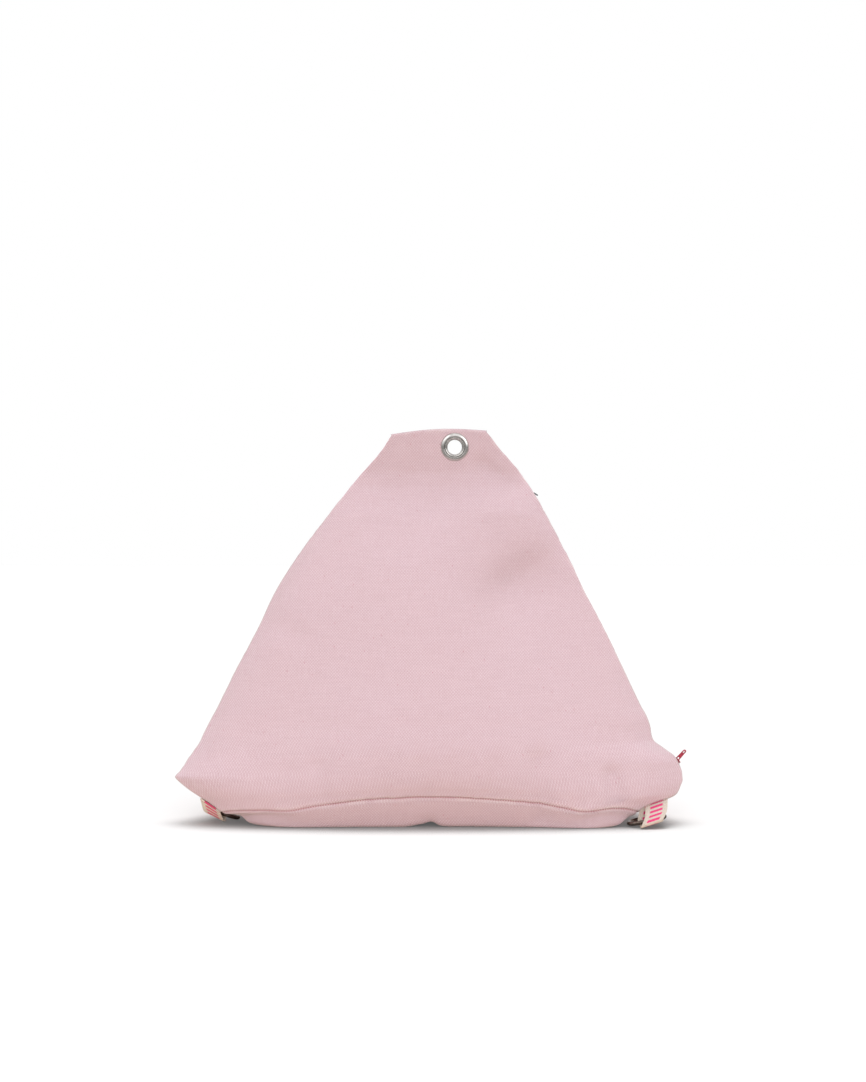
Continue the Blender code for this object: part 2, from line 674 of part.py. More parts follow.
def seam_point(height):
    """The outer edge of the right seam on its back side."""
    seam = seam_at(RIGHT_SEAM, height)
    return Vector((seam.x, seam.y + seam.thickness / 2, height))


def main():
    for item in list(bpy.data.objects):
        bpy.data.objects.remove(item)

    canvas = make_material("pink_canvas", (0.77, 0.57, 0.60), 0.92)
    webbing = make_material("natural_webbing", (0.72, 0.65, 0.56), 0.9)
    nickel = make_material("nickel", (0.72, 0.70, 0.68), 0.22, 1.0)
    crimson = make_material("crimson_enamel", (0.45, 0.05, 0.09), 0.4)
    steel = make_material("dark_steel", (0.25, 0.25, 0.27), 0.4, 1.0)

    make_body(canvas)
    make_tab(canvas)
    make_eyelet(nickel)
    make_loop("loop_left", webbing, LEFT_LOOP, LEFT_LOOP_SEAT)
    make_loop("loop_right", webbing, RIGHT_LOOP, RIGHT_LOOP_SEAT)
    make_ring("ring_left", nickel, LEFT_RING_SEAT)
    make_ring("ring_right", nickel, RIGHT_RING_SEAT)
    make_zip_parts(crimson, steel)


main()
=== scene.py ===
"""The looks of the pyramid pouf: a filled pink canvas cover with an eyelet in its flat top corner, a striped
webbing loop with a metal ring in each front corner, and a zip in its right seam.

Metres, +Z up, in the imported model's frame. The front face looks along -Y.
"""

import math
from collections import namedtuple

import bpy
import bmesh
import numpy as np
from mathutils import Matrix, Vector, noise
from mathutils.kdtree import KDTree


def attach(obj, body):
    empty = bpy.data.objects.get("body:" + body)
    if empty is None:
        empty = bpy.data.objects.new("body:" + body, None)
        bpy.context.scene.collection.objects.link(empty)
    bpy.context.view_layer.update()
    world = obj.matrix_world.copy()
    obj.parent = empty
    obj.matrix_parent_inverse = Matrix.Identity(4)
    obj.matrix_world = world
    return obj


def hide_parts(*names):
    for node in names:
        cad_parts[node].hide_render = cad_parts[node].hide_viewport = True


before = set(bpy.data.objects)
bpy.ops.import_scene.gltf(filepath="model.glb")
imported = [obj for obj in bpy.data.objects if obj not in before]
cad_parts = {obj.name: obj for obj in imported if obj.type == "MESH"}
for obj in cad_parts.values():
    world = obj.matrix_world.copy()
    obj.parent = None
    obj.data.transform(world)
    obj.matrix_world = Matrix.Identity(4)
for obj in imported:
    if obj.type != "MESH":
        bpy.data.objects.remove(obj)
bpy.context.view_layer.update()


def table(columns, *rows):
    """Rows of numbers with the names of their columns."""
    row_type = namedtuple("Row", columns)
    return [row_type(*row) for row in rows]


# The cloth is described in the working frame of its pattern and shifted by this much.
CENTRE = np.array((0.0016, -0.0117, 0.0))

FRONT_SEAM_HEIGHT = 0.014
TAB_FOOT_HEIGHT = 0.386
TAB_TOP_HEIGHT = 0.428
TAB_TOP_RISE = 0.004
TAB_TOP_SLANT = 0.0044
SIDE_SEAM_RISE = 0.017
SIDE_SEAM_POWER = 1.5
HANDLE = 0.45
END_REACH = 0.050
RISE_FADE = 0.035

# The two sewn side edges by height: where they stand and how thick they are. Their low parts are the
# flattened ends where the corners were cut off.
LEFT_SEAM = table(
    "height x y thickness",
    (0, -0.1813, -0.198, 0.003), (0.0011, -0.189, -0.197, 0.003), (0.0037, -0.1969, -0.196, 0.003),
    (0.0075, -0.2015, -0.195, 0.003), (0.0108, -0.206, -0.194, 0.0036), (0.0132, -0.2245, -0.193, 0.004),
    (0.0179, -0.2313, -0.192, 0.004), (0.026, -0.2434, -0.19, 0.004), (0.0303, -0.2504, -0.189, 0.004),
    (0.0383, -0.2629, -0.187, 0.004), (0.0437, -0.2701, -0.185, 0.004), (0.0519, -0.2783, -0.182, 0.0036),
    (0.0556, -0.2742, -0.181, 0.0032), (0.06, -0.2715, -0.179, 0.003), (0.0726, -0.2631, -0.172, 0.003),
    (0.086, -0.2538, -0.166, 0.003), (0.102, -0.2462, -0.159, 0.003), (0.1274, -0.2329, -0.149, 0.003),
    (0.1616, -0.2162, -0.136, 0.003), (0.2136, -0.1898, -0.116, 0.003), (0.2486, -0.1739, -0.102, 0.003),
    (0.2839, -0.1521, -0.089, 0.003), (0.3196, -0.1268, -0.075, 0.003), (0.3555, -0.099, -0.061, 0.003),
    (0.3728, -0.085, -0.052, 0.004), (0.385, -0.074, -0.048, 0.005), (0.41, -0.0538, -0.048, 0.005),
    (0.42, -0.0478, -0.048, 0.005), (0.428, -0.0426, -0.048, 0.0046),
)

RIGHT_SEAM = table(
    "height x y thickness",
    (0, 0.196, -0.206, 0.003), (0.0021, 0.205, -0.204, 0.003), (0.0059, 0.2105, -0.202, 0.003),
    (0.0092, 0.2152, -0.2, 0.003), (0.0117, 0.2204, -0.2, 0.0036), (0.016, 0.2277, -0.2, 0.004),
    (0.02, 0.2335, -0.199, 0.004), (0.024, 0.245, -0.196, 0.004), (0.0278, 0.2585, -0.192, 0.004),
    (0.0315, 0.2665, -0.189, 0.004), (0.0345, 0.2697, -0.187, 0.004), (0.0396, 0.2725, -0.185, 0.004),
    (0.0475, 0.2753, -0.181, 0.004), (0.0546, 0.2752, -0.178, 0.0038), (0.0603, 0.274, -0.176, 0.0034),
    (0.0665, 0.2714, -0.175, 0.003), (0.0725, 0.2682, -0.172, 0.003), (0.0761, 0.2635, -0.171, 0.003),
    (0.08, 0.2578, -0.169, 0.003), (0.0837, 0.2526, -0.167, 0.003), (0.087, 0.2478, -0.165, 0.003),
    (0.09, 0.245, -0.164, 0.003), (0.0936, 0.2437, -0.163, 0.003), (0.101, 0.2428, -0.159, 0.003),
    (0.1104, 0.2405, -0.156, 0.003), (0.1274, 0.2318, -0.149, 0.003), (0.1616, 0.2162, -0.136, 0.003),
    (0.2136, 0.1919, -0.116, 0.003), (0.2486, 0.1737, -0.102, 0.003), (0.2839, 0.1576, -0.089, 0.003),
    (0.3196, 0.1391, -0.075, 0.003), (0.3555, 0.1204, -0.061, 0.003), (0.3728, 0.109, -0.052, 0.004),
    (0.385, 0.1, -0.048, 0.005), (0.41, 0.0775, -0.048, 0.005), (0.42, 0.0695, -0.048, 0.005),
    (0.4262, 0.0632, -0.048, 0.0048), (0.428, 0.0598, -0.048, 0.0046),
)

# The back edge by height: where it stands and half the width over which it is flat.
BACK_SEAM = table(
    "height x y half_width",
    (0, 0, 0.15, 0.04), (0.0085, 0, 0.176, 0.047), (0.011, 0, 0.192, 0.05), (0.014, 0, 0.206, 0.0515),
    (0.018, 0, 0.206, 0.0515), (0.0225, 0, 0.192, 0.049), (0.0275, 0, 0.187, 0.044),
    (0.045, 0, 0.182, 0.03), (0.07, 0, 0.175, 0.016), (0.105, 0, 0.163, 0.008), (0.15, 0, 0.144, 0.004),
    (0.2, 0.001, 0.118, 0.003), (0.25, 0.003, 0.086, 0.003), (0.3, 0.005, 0.046, 0.004),
    (0.338, 0.007, 0.008, 0.008), (0.364, 0.01, -0.021, 0.024), (0.376, 0.012, -0.037, 0.04),
    (0.385, 0.013, -0.0455, 0.056), (0.4275, 0.009, -0.0455, 0.046),
)

# The filled shape under the sewn edges by height: where its left, right and back corners would stand if no
# end were flattened, and the level angles at which the front, side and back cloth leave them.
FILLING = table(
    "height left_x right_x side_y back_y back_half_width front_angle side_angle back_angle",
    (0, -0.1813, 0.196, -0.207, 0.15, 0.04, -3.6, 60, 50),
    (0.014, -0.212, 0.2215, -0.2165, 0.172, 0.04, -0.8, 64, 48),
    (0.03, -0.236, 0.242, -0.212, 0.177, 0.034, 2.7, 68, 46),
    (0.045, -0.249, 0.252, -0.202, 0.178, 0.027, 6.9, 71, 45),
    (0.06, -0.2535, 0.2555, -0.19, 0.176, 0.02, 10.8, 73, 43),
    (0.075, -0.253, 0.2535, -0.1785, 0.1725, 0.014, 14.1, 75, 42),
    (0.09, -0.2495, 0.249, -0.1685, 0.168, 0.01, 16.2, 76, 40),
    (0.105, -0.244, 0.2425, -0.159, 0.163, 0.0075, 17.7, 77, 39),
    (0.1274, -0.2329, 0.2318, -0.149, 0.154, 0.0052, 18.6, 78, 38),
    (0.1616, -0.2162, 0.2162, -0.136, 0.1385, 0.0037, 18, 79, 36),
    (0.2136, -0.1898, 0.1919, -0.116, 0.11, 0.003, 17.1, 80, 35),
    (0.2486, -0.1739, 0.1737, -0.102, 0.087, 0.003, 15, 80, 34),
    (0.2839, -0.1521, 0.1576, -0.089, 0.06, 0.0036, 11.6, 78, 33),
    (0.3196, -0.1268, 0.1391, -0.075, 0.028, 0.006, 6.7, 68, 30),
    (0.3555, -0.099, 0.1204, -0.061, -0.011, 0.018, 1.2, 44, 22),
    (0.3728, -0.085, 0.109, -0.052, -0.033, 0.036, 1.6, 22, 11),
    (0.385, -0.074, 0.1, -0.048, -0.0455, 0.056, 1.2, 0, 0),
    (0.39, -0.0695, 0.0954, -0.048, -0.0455, 0.055, 0.7, 0, 0),
    (0.395, -0.0652, 0.0908, -0.048, -0.0455, 0.054, 0.1, 0, 0),
    (0.428, -0.0426, 0.0598, -0.048, -0.0455, 0.046, 0, 0, 0),
)

# How much higher than its left end the front seam runs, at shares of the way from left to right.
FRONT_SEAM = table(
    "share rise",
    (0, 0), (0.093, 0.0022), (0.196, 0.0044), (0.236, 0.0042), (0.3, 0.0104), (0.409, 0.0182), (0.5, 0.02),
    (0.576, 0.0182), (0.665, 0.0139), (0.715, 0.0094), (0.771, 0.0038), (0.842, 0.0063), (1, 0.002),
)

# Folds in the front face: the two ends of each, how deep it is pressed in (or, below zero, stands out) and
# how far it spreads above and below.
FRONT_FOLDS = table(
    "x0 z0 x1 z1 depth above below",
    (0.15, 0.296, 0.09, 0.256, 0.009, 0.02, 0.036), (0.122, 0.256, 0.17, 0.24, 0.019, 0.05, 0.1),
    (0.11, 0.346, 0.03, 0.342, -0.0012, 0.009, 0.009), (0.094, 0.364, -0.1525, 0.224, -0.003, 0.032, 0.046),
    (0.06, 0.392, 0.088, 0.373, 0.006, 0.009, 0.014), (-0.08, 0.34, -0.012, 0.38, 0.0025, 0.014, 0.024),
    (-0.088, 0.35, -0.112, 0.322, 0.002, 0.01, 0.014), (0.02, 0.364, -0.026, 0.297, 0.0018, 0.012, 0.016),
    (-0.19, 0.224, -0.15, 0.206, 0.0035, 0.014, 0.018),
    (-0.153, 0.062, -0.158, 0.034, 0.0016, 0.009, 0.009),
    (-0.118, 0.066, -0.114, 0.032, 0.0022, 0.01, 0.01), (-0.056, 0.074, -0.052, 0.04, 0.0016, 0.009, 0.009),
    (-0.012, 0.07, -0.006, 0.042, 0.0019, 0.008, 0.008), (0.026, 0.072, 0.024, 0.042, 0.0017, 0.009, 0.009),
    (0.07, 0.07, 0.066, 0.04, 0.0015, 0.009, 0.009), (0.118, 0.072, 0.122, 0.014, 0.0052, 0.012, 0.012),
    (0.166, 0.058, 0.17, 0.03, 0.0016, 0.009, 0.009), (0.197, 0.056, 0.208, 0.02, 0.0062, 0.01, 0.01),
)

# How much further the front cloth stands out near its side seams than the plain panel, and how soon.
EDGE_ROLL = 0.019
EDGE_ROLL_REACH = 0.026
EDGE_SETTLE = 0.0142
EDGE_ROLL_TOP = 0.365
EDGE_ROLL_FADE = 0.030

# Puckers that lift the front cloth's lowest edge off the floor: where, how wide and how high.
PUCKERS = table(
    "x width lift",
    (-0.005, 0.014, 0.0032), (0.002, 0.0055, 0.003),
)

# How far apart the rows of points up the cloth are at a height, and how many columns each panel has.
ROW_SPACING = table(
    "height spacing",
    (0, 0.0016), (0.011, 0.001), (0.014, 0.0006), (0.017, 0.001), (0.03, 0.002), (0.1, 0.0027),
    (0.35, 0.0027), (0.386, 0.0022), (0.428, 0.0018),
)
FRONT_STEPS = 180
SIDE_STEPS = 110
EDGE_STEPS = 4
EDGE_ROUNDNESS = 0.22
BACK_STEPS = 12
END_CROWDING = 0.80
TOP_CALM = 0.012
TOP_ROUNDING = 0.002
TOP_ROUNDING_ROWS = 4
BOTTOM_RINGS = 10
LINE_STEP = 0.0005

# How deep the line is sunk where two panels are sewn together, how much the cloth swells beside it, how
# deep the gathers across it are and how far they reach into the panels.
Seam = namedtuple("Seam", "sink swell gather reach")

SEAMS = {
    "left": Seam(0.0012, 0.0004, 0.0006, 0.010),
    "right": Seam(0.0012, 0.0004, 0.0006, 0.010),
    "back": Seam(0.0012, 0.0005, 0.0007, 0.012),
    "bottom": Seam(0.0009, 0.0003, 0.0007, 0.014),
    "top": Seam(0.0005, 0, 0.0003, 0.006),
}
SEAM_SINK_SPREAD = 0.0013
SEAM_SWELL_OFFSET = 0.0042
SEAM_SWELL_SPREAD = 0.0026
STITCH_PITCH = 0.0027
STITCH_DEPTH = 0.0004

# How long the larger and the smaller gathers along a seam are, and the stretches over which they deepen.
GATHER_LENGTH = 0.0075
SMALL_GATHER_LENGTH = 0.0042
GATHER_STRETCH = 0.045
SMALL_GATHER_SHARE = 0.6

UNEVEN_HEIGHT = 0.0008
UNEVEN_SIZE = 0.110

# Half a wave of the weave is one yarn: of the canvas across and up the cloth, and of the webbing.
YARN_ACROSS = 0.00076
YARN_UP = 0.00083
WEBBING_YARN = 0.0009
WEBBING_YARN_ALONG = WEBBING_YARN * 0.62

# Names of the map and of the values that the materials read from the meshes.
CLOTH_MAP = "cloth_metres"
SEAM_AWAY = "seam_away"

# Eyelet: radii from its axis and distances in front of the flat corner's middle plane.
EYELET_CENTRE = Vector((0.0281, -0.048, 0.4112)) - Vector(CENTRE)
CLOTH_HOLE_RADIUS = 0.010
CLOTH_HOLE_DEPTH = 0.030
EYELET_STEPS = 96
EYELET_PROFILE = table(
    "radius front",
    (0.016, 0.0022), (0.0159, 0.0028), (0.0153, 0.0037), (0.0144, 0.0044), (0.0134, 0.005),
    (0.0125, 0.0052), (0.012, 0.0048), (0.0117, 0.0041), (0.01155, 0.0038), (0.01135, 0.0041),
    (0.011, 0.0046), (0.0105, 0.0046), (0.0098, 0.0041), (0.0091, 0.0033), (0.0085, 0.002),
    (0.0082, 0.0006), (0.0082, -0.0034), (0.0087, -0.0043), (0.0098, -0.0047), (0.011, -0.0043),
    (0.0112, -0.0037), (0.01, -0.0036), (0.0089, -0.0036), (0.0089, 0.002), (0.0093, 0.0028),
    (0.012, 0.0029),
)
WASHER_PROFILE = table(
    "radius front",
    (0.0092, -0.0028), (0.0142, -0.0028), (0.0148, -0.003), (0.0149, -0.0032), (0.0146, -0.0035),
    (0.0138, -0.0036), (0.0092, -0.0036),
)

# Webbing loops. A row is a point on the middle of the webbing, as distances behind and above the place on
# the cut edge where it is sewn in. Share says how far the loop has turned to its lower direction there, and
# aside how far the webbing is moved along its width.
WEBBING_WIDTH = 0.0265
WEBBING_LOW_WIDTH = 0.0254
WEBBING_THICKNESS = 0.0014
WEBBING_EDGE_THICKNESS = 0.35
WEBBING_EDGE_POWER = 14
WEBBING_STEPS = 28
LOOP_STEPS = 10
LEFT_LOOP = table(
    "back up share aside",
    (-0.0009, 0, 0, 0), (0.0062, -0.0058, 0.3, 0), (0.0134, -0.0111, 0.6, 0), (0.018, -0.0139, 0.9, 0),
    (0.0245, -0.0148, 1, 0), (0.028, -0.0118, 1, 0), (0.0262, -0.0066, 0.9, 0), (0.0185, -0.0026, 0.6, 0),
    (0.0085, -0.0008, 0.2, 0), (0.0009, 0, 0, 0),
)
RIGHT_LOOP = table(
    "back up share aside",
    (-0.0009, 0, 0, 0), (-0.008, -0.005, 0.1, 0), (-0.016, -0.0105, 0.3, 0), (-0.0225, -0.0158, 0.75, 0),
    (-0.0244, -0.019, 1, 0), (-0.0205, -0.021, 1, 0), (-0.011, -0.02, 0.85, -0.0015),
    (-0.0036, -0.0145, 0.55, -0.0052), (0, -0.0066, 0.25, -0.0058), (0.0009, 0, 0, -0.0058),
)

# Where a loop is sewn in, how far its bend is moved from under that place, and which way its width runs at
# the edge and at the bend.
LoopSeat = namedtuple("LoopSeat", "sewn low_shift across_top across_low")

LEFT_LOOP_SEAT = LoopSeat(
    Vector((-0.2390, -0.1905, 0.0212)),
    Vector((0.0030, 0.0000, -0.0006)),
    Vector((0.0226, -0.0020, -0.0152)),
    Vector((0.0236, -0.0020, -0.0106)),
)
RIGHT_LOOP_SEAT = LoopSeat(
    Vector((0.2458, -0.1965, 0.0252)),
    Vector((-0.0066, 0.0000, 0.0002)),
    Vector((0.0254, 0.0060, 0.0078)),
    Vector((0.0256, 0.0040, 0.0076)),
)

# Plain oval metal rings that lie in the loops.
RingSeat = namedtuple("RingSeat", "centre long_axis")

LEFT_RING_SEAT = RingSeat(Vector((-0.2296, -0.1604, 0.0103)), Vector((-1.0, 0.0, 0.36)))
RIGHT_RING_SEAT = RingSeat(Vector((0.2351, -0.1993, 0.0068)), Vector((1.0, 0.0, 0.20)))
RING_WIRE = 0.0046
RING_LENGTH = 0.044
RING_WIDTH = 0.028
RING_SIDES = 20
RING_ARC_STEPS = 32

# The photograph's frame in pixels, and the camera that stands where it was taken from.
FOCAL_PIXELS = 2409
FRAME_HEIGHT_PIXELS = 1082
SENSOR_MM = 36
CAMERA_PLACE = Vector((0.0017, -2.7883, 0.400))
CAMERA_PITCH = math.radians(88)

FLOOR_HEIGHT = -0.0005
FLOOR_SIZE = 12

# Zip parts: where the slider stands on the seam, how far it is set back, lifted and leant over, and where
# its pull and the end stop sit.
SLIDER_HEIGHT = 0.0672
SLIDER_LENGTH = 0.009
SLIDER_THICKNESS = 0.0024
SLIDER_SET_BACK = 0.0026
SLIDER_LIFT = -0.0003
SLIDER_TILT = 0.25
SLIDER_PLATE_OFFSET = 0.0008
PLATE_ARC_STEPS = 10
PULL_FOOT = Vector((0.2689, -0.1727, 0.0673))
PULL_WAY = Vector((0.66, -0.10, 0.75))
PULL_FACING = Vector((-0.25, -0.9, 0.1))
PULL_LENGTH = 0.0164
STOP_HEIGHT = 0.356
STOP_OFFSET = Vector((-0.0024, 0.0012, 0.0032))
STOP_REACH = Vector((0.0050, 0.0004, -0.0031))
STOP_FACING = Vector((0, 1, 0))

# Colours, linear: the darker and the lighter tone of each finish, and single ones.
WARP = ((0.80, 0.72, 0.745, 1), (0.865, 0.80, 0.835, 1))
WEFT = ((0.57, 0.35, 0.41, 1), (0.65, 0.43, 0.49, 1))
CREAM = ((0.64, 0.54, 0.46, 1), (0.78, 0.68, 0.60, 1))
# A lighter copy of the cream, for the left loop: painted light on webbing that lies in shade.
PAINTED_LIGHT_CREAM = ((0.82, 0.71, 0.61, 1), (0.94, 0.83, 0.73, 1))
PINK_BAR = ((0.78, 0.030, 0.18, 1), (0.87, 0.050, 0.24, 1))
# A lighter copy of the pink bars, for the left loop: painted light on webbing that lies in shade.
PAINTED_LIGHT_BAR = ((0.88, 0.040, 0.17, 1), (0.95, 0.060, 0.23, 1))
CRIMSON = ((0.30, 0.018, 0.040, 1), (0.42, 0.036, 0.070, 1))
NICKEL = ((0.60, 0.58, 0.56, 1), (0.76, 0.74, 0.72, 1))
# A darker, browner copy of the nickel for the rings: painted shade and painted reflection of the pink cloth
# where they lie under the pouf.
PAINTED_SHADE_NICKEL = ((0.13, 0.095, 0.080, 1), (0.26, 0.21, 0.18, 1))
STEEL = ((0.20, 0.20, 0.22, 1), (0.30, 0.30, 0.32, 1))
# Darker pink, for painted shade in the gaps between the yarns and for the dots between proud crossings.
GAP_SHADE_AND_DOT_COLOUR = (0.48, 0.22, 0.28, 1)
# Grey beige where the cloth is seen edge on: painted shade and sheen towards its outline.
EDGE_ON_SHADE_AND_SHEEN_COLOUR = (0.50, 0.43, 0.42, 1)
SPECK_COLOUR = (0.50, 0.16, 0.22, 1)
STAIN_COLOUR = (0.62, 0.42, 0.40, 1)
# The sewn lines: stitches, with painted shade in their sunk groove.
SEAM_STITCH_AND_SHADE_COLOUR = (0.42, 0.17, 0.19, 1)
WORN_COLOUR = (0.90, 0.82, 0.80, 1)
SHEEN_TINT = (0.95, 0.93, 0.90, 1)
# Darker cream, for painted shade in the gaps between the webbing's yarns.
CREAM_GAP_SHADE = (0.40, 0.32, 0.27, 1)
THREAD_COLOUR = (0.42, 0.06, 0.14, 1)
FLOOR_SEEN = (0.78, 0.78, 0.78, 1)
FLOOR_LIGHTING = (0.80, 0.69, 0.58, 1)
FLOOR_IN_METAL = (0.30, 0.29, 0.28, 1)
FLOOR_SHADOW_COLOUR = (0.22, 0.22, 0.22, 1)
# A faint glow of the floor where the camera sees it, which lifts its painted shadow.
FLOOR_GLOW = (0.09, 0.09, 0.09, 1)
WHITE = (1, 1, 1, 1)
FLOOR_SHADOW_REACH = 0.06

# How much of the second colour shows: in the gaps of the weave, as painted shade, between its proud
# crossings, where the cloth is seen edge on, as painted shade and sheen, on its specks and on its seams, as
# stitches and painted shade in the sunk line. Proud crossings are so many yarns apart.
WEAVE_GAP_SHADE = 0.35
DOT_SHADE = 0.36
DOT_ACROSS = 4.2
DOT_UP = 4.6
EDGE_ON_SHADE_AND_SHEEN_SHARE = 0.70
SPECK_SHARE = 0.45
SEAM_SHADE = 0.80

# Bars and stitching on the webbing.
BAR_PITCH = 0.0069
BAR_SHARE = 0.52
BAR_START = 0.0032
BAR_HALF_WIDTH = 0.0075
STITCH_ROW = 0.0016

# Studio light: how bright the room is at the level of the horizon and overhead, the soft boxes that only
# polished metal shows, and the large soft suns.
ROOM_SIDE = (0.26, 0.26, 0.27, 1)
ROOM_TOP = (0.78, 0.78, 0.78, 1)
METAL_ROOM_LOW = 0.24
METAL_ROOM_HIGH = 1.00
SoftBox = namedtuple("SoftBox", "way wide strength")

SOFT_BOXES = [
    SoftBox((-0.60, -0.40, 0.70), 0.05, 0.7),
    SoftBox((0.70, -0.45, 0.50), 0.08, 1.1),
]
Sun = namedtuple("Sun", "shines strength spread")

SUNS = {
    "overhead": Sun((-0.04, -0.10, -1.0), 1.20, 40),
    "front": Sun((-0.03, 0.95, -0.34), 1.44, 36),
}


def monotone(rows, name, at):
    """A monotone cubic through one column of a table, against its first column, at an array of places."""
    x = np.array([row[0] for row in rows], float)
    y = np.array([getattr(row, name) for row in rows], float)
    step = np.diff(x)
    slope = np.diff(y) / step
    tangent = np.zeros_like(y)
    tangent[0], tangent[-1] = slope[0], slope[-1]
    before, after = slope[:-1], slope[1:]
    same_way = before * after > 0
    tangent[1:-1][same_way] = (2 * before * after)[same_way] / (before + after)[same_way]
    at = np.clip(at, x[0], x[-1])
    i = np.clip(np.searchsorted(x, at, side="right") - 1, 0, len(x) - 2)
    t = (at - x[i]) / step[i]
    return (
        y[i] * (1 + 2 * t) * (1 - t) ** 2
        + tangent[i] * step[i] * t * (1 - t) ** 2
        + y[i + 1] * t * t * (3 - 2 * t)
        + tangent[i + 1] * step[i] * t * t * (t - 1)
    )


def value_at(rows, name, place):
    """One column of a table at one place."""
    return float(monotone(rows, name, np.array([place]))[0])


def sampled(rows, at):
    """Every column of a table at an array of places, as one row of arrays."""
    return type(rows[0])(at, *(monotone(rows, name, at) for name in rows[0]._fields[1:]))


def flat_vectors(x, y):
    return np.stack(np.broadcast_arrays(x, y), axis=-1)


def headings(degrees):
    """Level directions at an array of angles from +X."""
    radians = np.radians(degrees)
    return flat_vectors(np.cos(radians), np.sin(radians))


def panel(edges, corners, ways, steps):
    """The level sections of one cloth panel between two sewn edges, as an array of rows, points and x and
    y. The points lie closer together towards both edges."""
    length = np.linalg.norm(corners[1] - corners[0], axis=1)[:, None]
    handles = [corner + way * HANDLE * length for corner, way in zip(corners, ways)]
    share = np.linspace(0, 1, steps + 1)
    t = (share - END_CROWDING * np.sin(2 * math.pi * share) / (2 * math.pi))[None, :, None]
    r = 1 - t
    start, first, second, end = (a[:, None, :] for a in (corners[0], handles[0], handles[1], corners[1]))
    points = start * r**3 + first * (3 * r * r * t) + second * (3 * r * t * t) + end * t**3
    for edge, corner, away in zip(edges, corners, (t, r)):
        pull = np.exp(-((away * length[:, None, :] / END_REACH) ** 2)) * (1 - away**4)
        points = points + (edge - corner)[:, None, :] * pull
    points[:, 0], points[:, -1] = edges
    return points


def row_heights():
    """The heights of the rows from the floor to the foot of the rounded top edge."""
    heights = [0.0]
    top = TAB_TOP_HEIGHT - TOP_ROUNDING
    while heights[-1] < top:
        heights.append(heights[-1] + value_at(ROW_SPACING, "spacing", heights[-1]))
    return np.array(heights) * (top / heights[-1])


